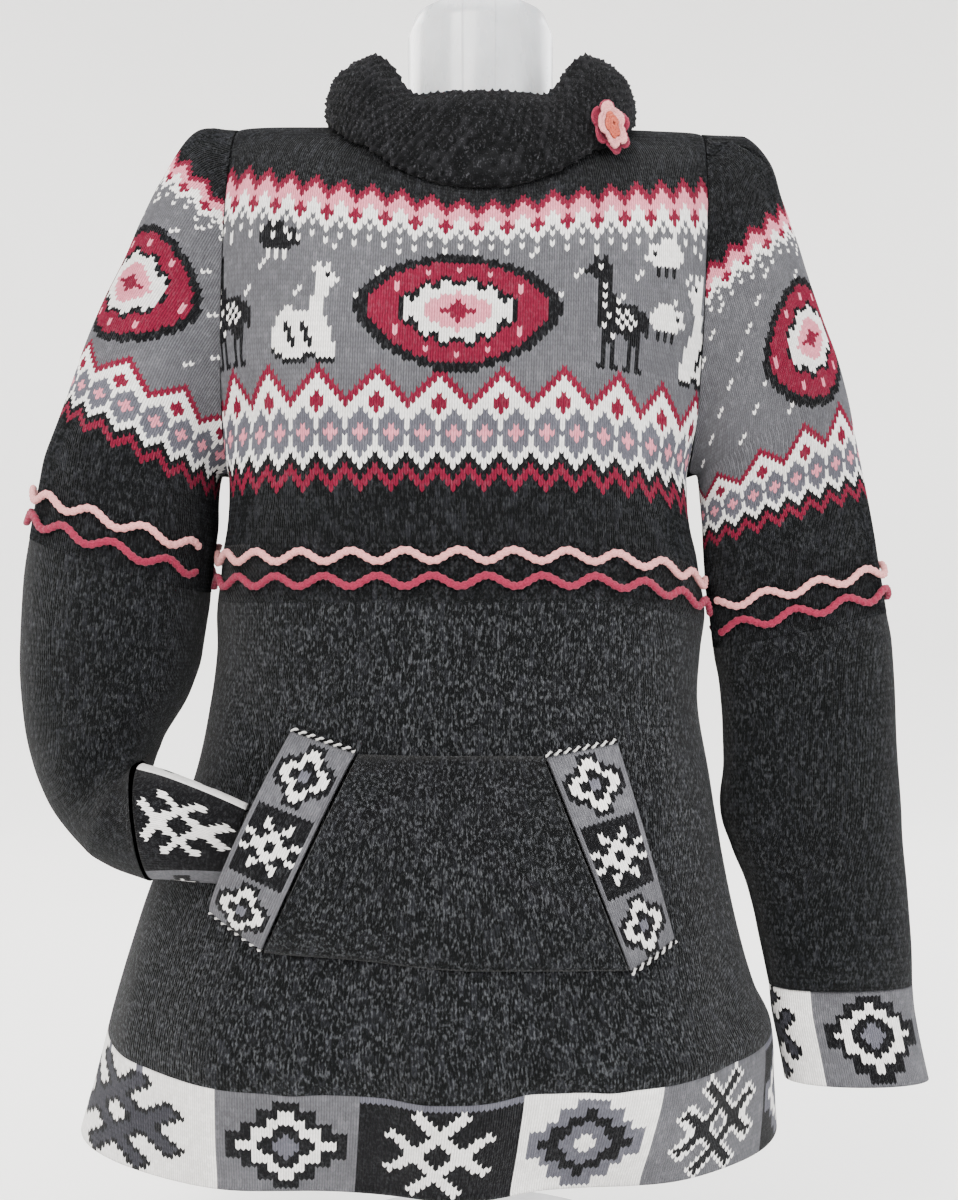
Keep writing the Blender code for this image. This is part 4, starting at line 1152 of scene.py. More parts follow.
def plastic_material(name):
    """Cloudy moulded plastic, with mould lines, handling marks and slow changes of tone."""
    nodes = Nodes(name)
    clouds = nodes.noise(9.0, 4.0, 0.6)
    cloudy = nodes.spread(clouds, 0.3, 0.7, 0.0, 1.0)
    coloured = nodes.mix(cloudy, linear(150, 152, 155), linear(186, 188, 190))
    place = nodes.add("ShaderNodeTexCoord").outputs["Object"]
    parts = nodes.add("ShaderNodeSeparateXYZ")
    nodes.join(place, parts.inputs[0])
    from_middle = nodes.math("ABSOLUTE", parts.outputs[0])
    line_away = nodes.math("ABSOLUTE", nodes.math("SUBTRACT", from_middle, 0.0105))
    line = nodes.spread(line_away, 0.0, 0.0009, 1.0, 0.0)
    shaded = nodes.mix(nodes.math("MULTIPLY", line, 0.35), coloured, linear(120, 120, 122))
    nodes.join(shaded, nodes.shader.inputs["Base Color"])
    marks = nodes.noise(60.0, 5.0, 0.65, stretch=(1.0, 1.0, 0.3))
    nodes.join(nodes.spread(marks, 0.3, 0.75, 0.18, 0.42), nodes.shader.inputs["Roughness"])
    nodes.bump(nodes.math("MULTIPLY_ADD", line, 1.5, nodes.noise(35.0, 3.0)), 0.25, 0.0006)
    nodes.set(Coat_Weight=0.35, Coat_Roughness=0.12, Subsurface_Weight=0.12, Subsurface_Scale=0.02)
    return nodes.material


def steel_material(name, low, high, colour):
    """Brushed metal with fine lines and duller patches."""
    nodes = Nodes(name)
    lines = nodes.noise(240.0, 4.0, 0.7, stretch=(1.0, 1.0, 0.06))
    patches = nodes.noise(22.0, 3.0)
    tone = nodes.mix(nodes.spread(patches, 0.3, 0.7, 0.0, 1.0), tuple(c * 0.8 for c in colour), colour)
    nodes.join(tone, nodes.shader.inputs["Base Color"])
    nodes.join(nodes.spread(lines, 0.3, 0.7, low, high), nodes.shader.inputs["Roughness"])
    nodes.bump(lines, 0.15, 0.0002)
    nodes.set(Metallic=1.0)
    return nodes.material


def stage_material(name):
    nodes = Nodes(name)
    paint = nodes.noise(1.2, 3.0)
    tone = nodes.mix(nodes.spread(paint, 0.3, 0.7, 0.0, 1.0), (0.90, 0.89, 0.87), (0.93, 0.925, 0.91))
    nodes.join(tone, nodes.shader.inputs["Base Color"])
    nodes.bump(nodes.noise(180.0, 3.0), 0.1, 0.0006)
    nodes.set(Roughness=0.85, Emission_Color=(1.0, 0.995, 0.98, 1.0), Emission_Strength=0.2)
    return nodes.material


# Knitted pieces


def dense(count=SAMPLES, low=-1.0, high=1.0):
    return np.linspace(low, high, count)


def all_round():
    """Turns round a sleeve, from its inner edge to its inner edge."""
    return dense(SAMPLES, -math.pi, math.pi)


def yoke_v(level):
    even = level / EVEN_DIVISOR
    late = np.clip((level - EVEN_COURSES) / (YOKE_COURSES - EVEN_COURSES), 0, 1)
    curved = EVEN_SHARE + (1 - EVEN_SHARE) * np.sin(math.pi / 2 * late)
    return np.where(level <= EVEN_COURSES, even, curved)


def yoke_lines(face):
    """Course lines that dip in one long curve below the neck, not only under the neckline."""
    def curves_at(levels):
        u = -face * EDGE_REACH * dense()[None, :]
        v = yoke_v(levels)[:, None]
        x = yoke_point(face, u, v)[..., 0]
        wide = 1 - np.minimum(1.0, np.abs(x) / DIP_HALF_WIDTH) ** DIP_POWER
        drop = NECK_DROP_FRONT if face == FRONT else NECK_DROP_BACK
        extra = drop * v**ROW_DIP_POWER * (wide - neck_share(x)) * (1 - ease(DIP_FADES_FROM, 1.0, v))
        return yoke_point(face, u, v - extra / (SHOULDER_LEFT_Z - YOKE_SEAM_Z))

    return curves_at


def flat_size(curves_at, courses):
    """The cut size of a panel before it was worn: its widest line, its middle height and its area."""
    lines = curves_at(np.linspace(0, courses, 40))
    widths = np.linalg.norm(np.diff(lines, axis=1), axis=2).sum(axis=1)
    heights = np.linalg.norm(np.diff(lines, axis=0), axis=2)
    area = (heights.mean(axis=1) * (widths[1:] + widths[:-1]) / 2).sum()
    tall = heights.sum(axis=0).max()
    return widths.max() * MM, tall * MM, min(area, widths.max() * tall) * MM * MM


def declare(piece, curves_at, courses, held="hung", **more):
    wide, tall, area = flat_size(curves_at, courses)


def yoke_chart(face, curves_at):
    """The yoke's stitches, laid so that the chart's middle wale falls at the middle of its line."""
    line = curves_at(np.array([float(FRIEZE_FROM + 10)]))[0]
    along = run_along(line)
    order = np.argsort(line[:, 0])
    half = int(math.ceil(along[-1] / STITCH / 2)) + 22
    chart = np.full((YOKE_COURSES, half * 2), DARK)
    start = np.interp(0.5, np.linspace(0, 1, SAMPLES), along)

    def wale_at(x):
        return int(round(half + (np.interp(x, line[order, 0], along[order]) - start) / STITCH))

    zero = wale_at(PEAK_X if face == FRONT else 0.0)
    chart[FRIEZE_FROM - 20 : SCALLOP_TOP - 2] = GREY
    lay_border(chart, BORDER_FROM, zero)
    chart[FRIEZE_FROM : SCALLOP_TOP - 2] = GREY
    lay_snow(chart, FRIEZE_FROM + 12, SCALLOP_TOP - 12)
    for motif in FRONT_MOTIFS if face == FRONT else BACK_MOTIFS:
        lay_chart(chart, motif, wale_at(motif.x), motif.course)
    lay_medallion(chart, wale_at(MEDALLION_X if face == FRONT else 0.0), MEDALLION_COURSE, *MEDALLION_HALF)
    lay_scallops(chart, SCALLOP_TOP, zero)
    return chart


def build_yokes(finish):
    purl = (np.arange(YOKE_COURSES + 1) < PURL_COURSES).astype(float)
    for face, name in ((FRONT, "front_yoke"), (BACK, "back_yoke")):
        curves_at = yoke_lines(face)
        chart = yoke_chart(face, curves_at)
        piece = knit_panel(
            "knit_" + name, curves_at, chart, body_soft(face), SEED + face, purl,
            middle=0.5, gauge=STITCH, sub=4,
        )
        finish_piece(piece, finish, name)
        declare(piece, curves_at, YOKE_COURSES)


def build_skirts(finish):
    for face, name in ((FRONT, "front_skirt"), (BACK, "back_skirt")):
        def curves_at(levels, face=face):
            u = -face * dense()[None, :]
            low = band_top_z(face, u) + CREASE_GAP - SKIRT_FOOT_OVERLAP
            high = yoke_seam_z(u) + SEAM_GAP
            return skirt_point(face, u, low + (high - low) * (levels / SKIRT_COURSES)[:, None])

        chart = np.full((SKIRT_COURSES, SKIRT_WALES), DARK)
        piece = knit_panel("knit_" + name, curves_at, chart, body_soft(face), SEED + 5 + face)
        finish_piece(piece, finish, name)
        declare(piece, curves_at, SKIRT_COURSES)


def hem_edges(curves_at, face):
    if face == BACK:
        return [round(k * HEM_WALES / 6) for k in range(7)]
    line = curves_at(np.array([HEM_COURSES / 2]))[0]
    along = run_along(line)
    met = [round(float(np.interp(x, line[:, 0], along / along[-1])) * HEM_WALES) for x in HEM_EDGES_X]
    return [0, *met, min(met[-1] + HEM_CELL, HEM_WALES - 2), HEM_WALES]


def build_hem(finish):
    for face, name in ((FRONT, "hem_band_front"), (BACK, "hem_band_back")):
        def curves_at(levels, face=face):
            u = -face * dense()[None, :]
            low, high = hem_z(face, u), band_top_z(face, u)
            return skirt_point(face, u, low + (high - low) * (levels / HEM_COURSES)[:, None])

        chart = squares_chart(HEM_COURSES, hem_edges(curves_at, face), HEM_SEQUENCE)
        chart[-1, chart[-1] == BLACK] = MID
        piece = knit_panel("knit_" + name, curves_at, chart, body_soft(face), SEED + 9 + face)
        thicken(piece, SQUARES_SHELL)
        finish_piece(piece, finish, name)
        declare(piece, curves_at, HEM_COURSES)


# Sleeves


def row_lines(sections, armhole_x):
    """Lines seen from the front that the courses of a sleeve follow, from the shoulder down."""
    lines = []
    for k, section in enumerate(sections):
        if k < len(CAP_MEETS_Z):
            lines.append((section.outer_x, section.outer_z, armhole_x, CAP_MEETS_Z[k]))
        else:
            lines.append((section.outer_x, section.outer_z, section.inner_x, section.inner_z))
    return np.array(lines, float)


def line_number(lines, x, z):
    """How many lines lie above a place, whole or between."""
    outer_x, outer_z, inner_x, inner_z = (lines[:, c] for c in range(4))
    run_x, run_z = inner_x - outer_x, inner_z - outer_z
    long = np.maximum(np.hypot(run_x, run_z), 1.0)
    flip = np.where(run_x > 0, 1.0, -1.0)
    above = flip * (run_x * (z[..., None] - outer_z) - run_z * (x[..., None] - outer_x)) / long
    under, over = -above[..., :-1], above[..., 1:]
    share = np.where(under <= 0, 0.0, np.where(over <= 0, 1.0, under / np.maximum(under + over, 1e-6)))
    return share.sum(axis=-1)


def sleeve_upper_lines(sections, seam, side, armhole_x):
    """The course lines of the patterned sleeve, cut off along the armhole."""
    lines = row_lines(sections[: seam + 1], armhole_x)
    middles = np.stack([(lines[:, 0] + lines[:, 2]) / 2, (lines[:, 1] + lines[:, 3]) / 2], axis=1)
    lengths = run_along(middles)
    height = lengths[-1]
    courses = int(round(height / SLEEVE_COURSE))
    turns = all_round()
    numbers = np.linspace(0, seam, 240)
    cloud = section_points(sections, numbers[:, None], side * turns[None, :])
    passed = np.maximum.accumulate(line_number(lines, cloud[..., 0], cloud[..., 2]), axis=0)
    passed += np.linspace(0, 1e-3, len(numbers))[:, None]

    def curves_at(levels):
        down = height * (1 - np.asarray(levels) / courses)
        wanted = np.interp(np.clip(down, 0, height), lengths, np.arange(len(lengths)))
        wanted = np.where(np.asarray(levels) <= 0, seam + 1.0, wanted)
        k = np.stack([np.interp(wanted, passed[:, t], numbers) for t in range(SAMPLES)], axis=1)
        k = np.minimum(k, seam - 0.01)
        return section_points(sections, k, side * turns[None, :])

    return curves_at, courses


def trim_to_armhole(curves_at, armhole, margin=0.02):
    """The same lines without the stretches that run along the armhole itself."""
    middle = SAMPLES // 2

    def trimmed(levels):
        lines = curves_at(levels)
        for r, line in enumerate(lines):
            moved = np.abs(line - armhole).max(axis=1) > margin
            if moved.all() or not moved.any():
                continue
            kept = np.flatnonzero(moved)
            low, high = max(0, kept[0] - 1), min(SAMPLES - 1, kept[-1] + 1)
            at = np.concatenate([
                np.linspace(low, middle, middle + 1)[:-1],
                np.linspace(middle, high, SAMPLES - middle),
            ])
            lines[r] = resampled(at, np.arange(SAMPLES), line)
        return lines

    return trimmed


def sleeve_lower_lines(sections, seam, side):
    low = sections[seam:]
    table = np.array(low, float)
    middle_x, middle_z = (table[:, 0] + table[:, 2]) / 2, (table[:, 1] + table[:, 3]) / 2
    middles = np.stack([middle_x, table[:, 4], middle_z], axis=1)
    lengths = run_along(middles)
    courses = int(round(lengths[-1] / COURSE))
    turns = all_round()

    def curves_at(levels):
        down = lengths[-1] * (1 - np.asarray(levels) / courses)
        k = np.interp(down, lengths, np.arange(len(lengths))) + seam
        return section_points(sections, k[:, None], side * turns[None, :])

    return curves_at, courses


def cuff_lines(sections, side):
    turns = all_round()

    def curves_at(levels):
        k = (len(sections) - 1) * (1 - np.asarray(levels) / CUFF_COURSES)
        return section_points(sections, k[:, None], side * turns[None, :])

    return curves_at


def sleeve_chart(courses, front_side):
    """The patterned sleeve, with its medallion on the front half."""
    chart = np.full((courses, SLEEVE_HALF_WALES * 2), DARK)
    chart[SLEEVE_BORDER_FROM + 12 : SLEEVE_SCALLOP_TOP - 2] = GREY
    lay_border(chart, SLEEVE_BORDER_FROM, SLEEVE_HALF_WALES + front_side * 2)
    chart[SLEEVE_BORDER_FROM + 24 : SLEEVE_SCALLOP_TOP - 2] = GREY
    lay_snow(chart, SLEEVE_BORDER_FROM + 26, SLEEVE_SCALLOP_TOP - 8)
    middle = SLEEVE_HALF_WALES + front_side * 18
    behind = SLEEVE_HALF_WALES - front_side * 24
    lay_medallion(chart, middle, SLEEVE_BORDER_FROM + 41, 15, 16)
    lay_chart(chart, Motif(STANDING, 0, 0, front_side > 0, PLAIN_SHADES), behind, SLEEVE_BORDER_FROM + 29)
    lay_scallops(chart, min(SLEEVE_SCALLOP_TOP, courses - 1), SLEEVE_HALF_WALES)
    return chart


def build_sleeves(upper_finish, lower_finish, cuff_finish):
    for word, side, sections, seam, cuff, armhole_x, first_wale in SLEEVES:
        curves_at, courses = sleeve_upper_lines(sections, seam, side, armhole_x)
        armhole = section_points(sections, np.zeros(SAMPLES), side * all_round())
        trimmed = trim_to_armhole(curves_at, armhole)
        lines = curves_at(np.arange(courses + 1))
        around = np.linalg.norm(np.diff(lines, axis=1), axis=2).sum(axis=1)
        foot_z = sections[0].inner_z
        closed = np.abs(lines[:, 0, 2] - foot_z) > 0.6
        gauge = around / (SLEEVE_HALF_WALES * 2)
        last = int(np.flatnonzero(closed)[-1])
        gauge[last:] = gauge[last]
        piece = knit_panel(
            f"knit_{word}_sleeve_upper", trimmed, sleeve_chart(courses, side), sleeve_soft,
            SEED + 20 + side, middle=0.5, gauge=gauge * 0.9999, sub=4,
        )
        finish_piece(piece, upper_finish, f"{word}_sleeve_upper")
        declare(piece, trimmed, courses)

        curves_at, courses = sleeve_lower_lines(sections, seam, side)
        chart = np.full((courses, SLEEVE_HALF_WALES * 2), DARK)
        piece = knit_panel(f"knit_{word}_sleeve_lower", curves_at, chart, sleeve_soft, SEED + 30 + side)
        finish_piece(piece, lower_finish, f"{word}_sleeve_lower")
        declare(piece, curves_at, courses)

        curves_at = cuff_lines(cuff, side)
        edges = [round(k * CUFF_WALES / 3) for k in range(4)]
        chart = np.roll(squares_chart(CUFF_COURSES, edges, CUFF_SEQUENCE), first_wale, axis=1)
        piece = knit_panel(f"knit_{word}_cuff", curves_at, chart, wobble, SEED + 40 + side)
        thicken(piece, SQUARES_SHELL)
        finish_piece(piece, cuff_finish, f"{word}_cuff")
        declare(piece, curves_at, CUFF_COURSES)


# Pouch and its bands


def quad_place(corners, s, t):
    """A place between four corners: top left, top right, foot right, foot left."""
    top_a, top_b, foot_b, foot_a = (np.array(c) for c in corners)
    low = foot_a * (1 - s)[..., None] + foot_b * s[..., None]
    high = top_a * (1 - s)[..., None] + top_b * s[..., None]
    return low * (1 - t)[..., None] + high * t[..., None]


def shares_at(levels, courses):
    """Shares up and across a flat piece for the places on its course lines."""
    return np.broadcast_arrays((np.asarray(levels) / courses)[:, None], dense(SAMPLES, 0.0, 1.0)[None, :])


def build_pouch(pouch_finish, band_finish, trim_finish):
    corners = (POUCH_TOP[:2], POUCH_TOP[2:], POUCH_BOTTOM[2:], POUCH_BOTTOM[:2])

    def pouch_at(levels):
        t, s = shares_at(levels, POUCH_COURSES)
        place = quad_place(corners, s, t)
        seam = np.maximum(0, np.sin(math.pi * t)) ** BULGE_POWER
        bulge = POUCH_BULGE + (CUFF_BULGE - POUCH_BULGE) * (1 - ease(0.0, CUFF_BULGE_REACH, s))
        return on_front(place[..., 0], place[..., 1], WALL + LIE_GAP, bulge * seam)

    chart = np.full((POUCH_COURSES, POUCH_WALES), DARK)
    piece = knit_panel("knit_pouch", pouch_at, chart, wobble, SEED + 50)
    thicken(piece, POUCH_SHELL)
    finish_piece(piece, pouch_finish, "pouch")
    declare(piece, pouch_at, POUCH_COURSES)
    for word, corners, bulge in (
        ("left", BAND_LEFT, BAND_BULGE_LEFT),
        ("right", BAND_RIGHT, BAND_BULGE_RIGHT),
    ):
        def band_at(levels, corners=corners, bulge=bulge, word=word):
            t, s = shares_at(levels, BAND_COURSES)
            place = quad_place(corners, s, t)
            swell = np.maximum(0, np.sin(math.pi * (1 - t) ** BAND_BULGE_LEAN)) ** BULGE_POWER
            near = (1 - s) if word == "left" else s
            lift = bulge * (BAND_FAR_SHARE + BAND_NEAR_EXTRA * near)
            return on_front(place[..., 0], place[..., 1], WALL + LIE_GAP, lift * swell)

        edges = [k * BAND_WALES for k in range(4)]
        chart = squares_chart(BAND_WALES, edges, BAND_SEQUENCE).T
        chart[:, :1] = GREY
        chart[:, -1:] = GREY
        piece = knit_panel(f"knit_band_{word}", band_at, chart, wobble, SEED + 52)
        thicken(piece, POUCH_SHELL)
        finish_piece(piece, band_finish, f"pocket_band_{word}")
        declare(piece, band_at, BAND_COURSES)
        for end, level in (("top", float(BAND_COURSES)), ("foot", 0.0)):
            route = band_at(np.array([level]))[0][:: SAMPLES // BAND_END_POINTS]
            route = route + np.array([0.0, -BAND_END_FORWARD, 0.0])
            twisted_edge(f"trim_{word}_{end}", route, trim_finish)


def twisted_edge(name, route, finish):
    """Two plies wound round each other along a band's short end."""
    radius, pitch, sides, step = 0.9, 6.0, 8, 0.8
    along = run_along(route)
    fine = np.linspace(0, along[-1], int(along[-1] / step))
    spine = resampled(fine, along, route)
    tangent = unit(np.gradient(spine, axis=0))
    side = unit(np.cross(tangent, np.array([0.0, -1.0, 0.0])))
    front = np.cross(side, tangent)
    points, faces, colours = [], [], []
    for ply, shade in ((0, YARNS[WHITE]), (1, YARNS[BLACK])):
        wind = 2 * math.pi * fine / pitch + ply * math.pi
        centre = spine + radius * (side * np.cos(wind)[:, None] + front * np.sin(wind)[:, None])
        turns = np.arange(sides) * 2 * math.pi / sides
        ring = side[:, None] * np.cos(turns)[None, :, None] + front[:, None] * np.sin(turns)[None, :, None]
        start = len(points)
        points.extend((centre[:, None] + ring * radius).reshape(-1, 3).tolist())
        ply_faces = tube_faces(len(fine), sides, start)
        faces.extend(ply_faces)
        colours.extend([[[*shade, 1.0]] * 4] * len(ply_faces))
    thing = mesh_object(name, points, faces, np.zeros((len(faces), 4, 2)), colours)
    return finish_piece(thing, finish, None)


def tube_faces(rings, sides, start=0):
    faces = []
    for r in range(rings - 1):
        for c in range(sides):
            n = (c + 1) % sides
            faces.append((
                start + r * sides + c, start + r * sides + n,
                start + (r + 1) * sides + n, start + (r + 1) * sides + c,
            ))
    return faces


# Sewn cords, chains of crocheted links


def chain_cord(name, spine, outward, finish, node):
    """A chain along its spine: two strands side by side, in leaning links."""
    sides, rings_a_link = 10, 5
    along = run_along(spine)
    fine = np.linspace(0, along[-1], int(along[-1] / CORD_LINK * rings_a_link))
    centre = resampled(fine, along, spine)
    out = resampled(fine, along, outward)
    tangent = unit(np.gradient(centre, axis=0))
    side = unit(np.cross(tangent, out))
    out = np.cross(side, tangent)
    turns = np.arange(sides) * 2 * math.pi / sides
    away = np.minimum(turns, 2 * math.pi - turns)
    groove = 1 - 0.2 * np.exp(-((away / 0.45) ** 2))
    lean = fine[:, None] / CORD_LINK - 0.5 * np.minimum(away, math.pi - away)[None, :] / (math.pi / 2)
    link = 1 + 0.15 * np.sin(2 * math.pi * lean)
    radius = CORD_HALF_WIDTH * groove[None, :] * link
    ends = np.minimum(1.0, np.minimum(fine, fine[-1] - fine) / 2.0 + 0.25)
    radius = radius * ends[:, None] * np.where(away < math.pi / 2, 1.0, 0.9)[None, :]
    ring = out[:, None] * np.cos(turns)[None, :, None] + side[:, None] * np.sin(turns)[None, :, None]
    points = centre[:, None] + ring * radius[..., None]
    faces = tube_faces(len(fine), sides)
    faces.append(tuple(range(sides))[::-1])
    faces.append(tuple((len(fine) - 1) * sides + c for c in range(sides)))
    return finish_piece(plain_object(name, points.reshape(-1, 3) * MM, faces), finish, node)


def wave(along, phase):
    return CORD_SWING * np.cos(2 * math.pi * along / CORD_WAVE + phase)


CORDS = (("pink", PINK_ABOVE_SEAM, 0.0), ("crimson", CRIMSON_ABOVE_SEAM, math.pi))


def build_body_cords(finishes):
    step = 0.004
    for face, word in ((FRONT, "front"), (BACK, "back")):
        u = dense(900, -CORD_SIDE_STOP, CORD_SIDE_STOP)
        line = yoke_point(face, u, CORD_LINE_V)
        along = run_along(line)
        rise = yoke_point(face, u, CORD_RISE_V)[:, 2] - yoke_point(face, u, 0.0)[:, 2]
        for shade, level, phase in CORDS:
            v = (level + wave(along, phase)) / rise * CORD_RISE_V
            place = yoke_point(face, u, v)
            across = yoke_point(face, u + step, v) - yoke_point(face, u - step, v)
            up = yoke_point(face, u, v + step) - yoke_point(face, u, v - step)
            normal = unit(np.cross(across, up))
            normal *= np.where(normal[:, 1:2] * face > 0, 1.0, -1.0)
            lift = CORD_HALF_WIDTH + CORD_LIFT + body_soft(face)(place)
            spine = place + normal * lift[:, None]
            name = f"cord_{shade}_{word}"
            chain_cord("chain_" + name, spine, normal, finishes[shade], name)


def build_sleeve_cords(finishes):
    places = 700
    for word, side, sections, seam, *_ in SLEEVES:
        turn = dense(places, -SLEEVE_CORD_STOP, SLEEVE_CORD_STOP)
        ring = section_points(sections, np.full(places, float(seam)), turn * side)
        along = run_along(ring)
        k_steps = np.linspace(seam, seam - 4, 41)
        climb = section_points(sections, k_steps[:, None], turn[None, :] * side)
        heights = np.concatenate([
            np.zeros((1, places)), np.cumsum(np.linalg.norm(np.diff(climb, axis=0), axis=2), axis=0)
        ])
        for shade, level, phase in CORDS:
            wanted = level + wave(along, phase)
            k = np.array([np.interp(wanted[t], heights[:, t], k_steps) for t in range(places)])
            place = section_points(sections, k, turn * side)
            normal = unit(section_points(sections, k, turn * side, 1.0) - place)
            lift = CORD_HALF_WIDTH + SLEEVE_CORD_LIFT + sleeve_soft(place)
            name = f"cord_{shade}_{word}_sleeve"
            chain_cord("chain_" + name, place + normal * lift[:, None], normal, finishes[shade], name)


# Collar


def plan_point(turn, half_width, front, back, centre=COLLAR_CENTRE_X, roundness=2.0):
    at_front = np.cos(turn) > 0
    deep = np.where(at_front, front, back)
    power = np.where(at_front, 2 / roundness, 1.0)
    across, forward = signed_power(np.sin(turn), power), signed_power(np.cos(turn), power)
    return np.stack([centre + half_width * across, -deep * forward], axis=-1)


def cloth_top_z(x, y):
    front = y < 0
    drop = np.where(front, NECK_DROP_FRONT, NECK_DROP_BACK)
    neck_y = np.where(front, NECK_FRONT_Y, NECK_BACK_Y)
    neck = neck_share(x)
    top = shoulder_z(x) - drop * neck
    tall = ROUND_OVER_SHOULDER + (ROUND_OVER_NECK - ROUND_OVER_SHOULDER) * neck
    centre_depth = np.where(front, read("front", 715.0), read("back", 715.0))
    reach = (read("right", 715.0) + read("left", 715.0)) / 2
    plain = centre_depth * superellipse_rest(x / (reach * 1.08), ROUNDNESS)
    inner = neck_y * np.sqrt(neck)
    share = np.clip((np.abs(y) - inner) / (plain - inner), 0.0, 1.0)
    return top - tall * (1 - np.sqrt(np.maximum(0.0, 1 - share * share)))


def fold_z(turn):
    sideways = np.abs(np.sin(turn))
    front = FOLD_FRONT_Z + (FOLD_PEAK_Z - FOLD_FRONT_Z) * ease(FOLD_RISE_FROM, FOLD_RISE_TO, sideways)
    back = FOLD_BACK_Z + (FOLD_PEAK_Z - FOLD_BACK_Z) * ease(0.0, 1.0, sideways)
    return np.where(np.cos(turn) > 0, front, back)


def collar_corners(turn, rib=0.65):
    """The corners of the folded collar's closed section, as in the source."""
    foot_plan = plan_point(
        turn, SKIRT_HALF_WIDTH, SKIRT_FRONT_Y, SKIRT_BACK_Y, roundness=SKIRT_FRONT_ROUNDNESS
    )
    foot_z = cloth_top_z(foot_plan[..., 0], foot_plan[..., 1]) + COLLAR_LIFT
    neck_plan = plan_point(turn, NECK_HALF_WIDTH - 1, NECK_FRONT_Y - 1, NECK_BACK_Y, centre=0.0)
    neck_z = cloth_top_z(neck_plan[..., 0], neck_plan[..., 1]) + COLLAR_NECK_LIFT
    fold_plan = plan_point(turn, FOLD_HALF_WIDTH, FOLD_FRONT_Y, FOLD_BACK_Y)
    top_z = fold_z(turn)

    def at(plan_low, share, z, grow):
        plan = plan_low * (1 - share) + fold_plan * share
        away = unit(plan - np.array([COLLAR_CENTRE_X, 0.0]))
        return np.concatenate([plan + away * grow, z[..., None]], axis=-1)

    layer, belly = COLLAR_LAYER, COLLAR_BELLY
    tall = top_z - foot_z
    return np.stack([
        at(foot_plan, 0.0, foot_z, rib),
        at(foot_plan, 0.35, foot_z + tall * 0.4, rib + belly),
        at(foot_plan, 0.75, foot_z + tall * 0.8, rib + belly),
        at(foot_plan, 1.0, top_z - FOLD_OUTER_DROP, rib * 0.5),
        at(foot_plan, 1.0, top_z, -FOLD_CREST_IN),
        at(foot_plan, 1.0, top_z - FOLD_INNER_DROP, -FOLD_INNER_IN),
        at(neck_plan, 0.0, neck_z, -layer),
        at(neck_plan, 0.0, neck_z, 0.0),
        at(neck_plan, 0.85, top_z - FOLD_INSIDE_DROP, -layer),
        at(foot_plan, 0.85, top_z - FOLD_INSIDE_DROP, -layer - FOLD_LAYER_EXTRA),
        at(foot_plan, 0.35, foot_z + tall * 0.4, belly - layer),
        at(foot_plan, 0.0, foot_z, -layer),
    ], axis=-2)


def build_collar(finish):
    """Rows of round seed stitches over the collar's closed section."""
    columns = COLLAR_STITCHES * COLLAR_SUB
    turn = np.arange(columns) * 2 * math.pi / columns
    corners = collar_corners(turn)
    closed = np.concatenate([corners, corners[:, :1]], axis=1)
    span = np.concatenate([[0.0], np.cumsum(np.linalg.norm(np.diff(closed, axis=1), axis=2).mean(axis=0))])
    courses = int(round(span[-1] / COLLAR_PITCH / 2)) * 2
    rows = courses * COLLAR_ROW_SUB
    at = np.arange(rows) / rows * span[-1]
    padded = np.concatenate([closed[:, -3:-1], closed, closed[:, 1:3]], axis=1)
    knots = np.concatenate([span[-3:-1] - span[-1], span, span[-1] + span[1:3]])
    points = np.stack([through_rows(knots, padded[..., c], at) for c in range(3)], axis=-1)
    across = np.roll(points, -1, axis=0) - np.roll(points, 1, axis=0)
    up = np.roll(points, -1, axis=1) - np.roll(points, 1, axis=1)
    normals = unit(np.cross(across, up))
    stitch = np.arange(columns)[:, None] / COLLAR_SUB
    course = np.arange(rows)[None, :] / COLLAR_ROW_SUB
    crown = 0.5 + 0.5 * np.cos(2 * math.pi * stitch) * np.cos(math.pi * course)
    rng = np.random.default_rng(SEED + 60)
    heights = rng.random((COLLAR_STITCHES, courses))
    nearest = np.round(course).astype(int)
    bump = np.round(stitch - 0.5 * (nearest % 2)).astype(int) % COLLAR_STITCHES
    uneven = heights[bump, nearest % courses]
    raised = crown * (1.7 + 1.8 * uneven) - 1.0
    points = points + normals * raised[..., None]
    corner = np.arange(columns * rows).reshape(columns, rows)
    right, above = np.roll(corner, -1, axis=0), np.roll(corner, -1, axis=1)
    faces = np.stack([corner, right, np.roll(right, -1, axis=1), above], axis=-1).reshape(-1, 4)
    dark, light = np.array(linear(8, 8, 9)), np.array(linear(30, 30, 32))
    shade = dark + (light - dark) * (uneven**2.2)[..., None]
    # The alpha carries the painted shade between the stitch crowns, which the collar's material reads.
    colours = np.concatenate([shade, np.clip(crown**1.4 * 1.2, 0, 1)[..., None]], axis=-1).reshape(-1, 4)
    thing = mesh_object("knit_collar", points, faces, None, colours[faces])
    finish_piece(thing, finish, "collar")


def through_rows(knots, values, at):
    """A smooth curve through the knots for every row of values."""
    slopes = np.gradient(values, axis=1) / np.gradient(knots)[None, :]
    i = np.clip(np.searchsorted(knots, at, side="right") - 1, 0, len(knots) - 2)
    step = (knots[i + 1] - knots[i])[None, :]
    t = (at - knots[i])[None, :] / step
    soft = 0.7
    return (
        values[:, i] * (1 + 2 * t) * (1 - t) ** 2
        + soft * slopes[:, i] * step * t * (1 - t) ** 2
        + values[:, i + 1] * t * t * (3 - 2 * t)
        + soft * slopes[:, i + 1] * step * t * t * (t - 1)
    )


# Crocheted flower


Petals = namedtuple("Petals", "word yarn half_wide half_tall petals lift cup ruffle")
PETAL_LAYERS = [
    Petals("outer", "crimson", 14.4, 20.0, 6, 1.6, 2.6, 1.1),
    Petals("inner", "pink", 9.6, 15.4, 5, 5.2, 2.4, 1.0),
    Petals("centre", "coral", 4.4, 8.8, 5, 8.6, -1.6, 0.5),
]


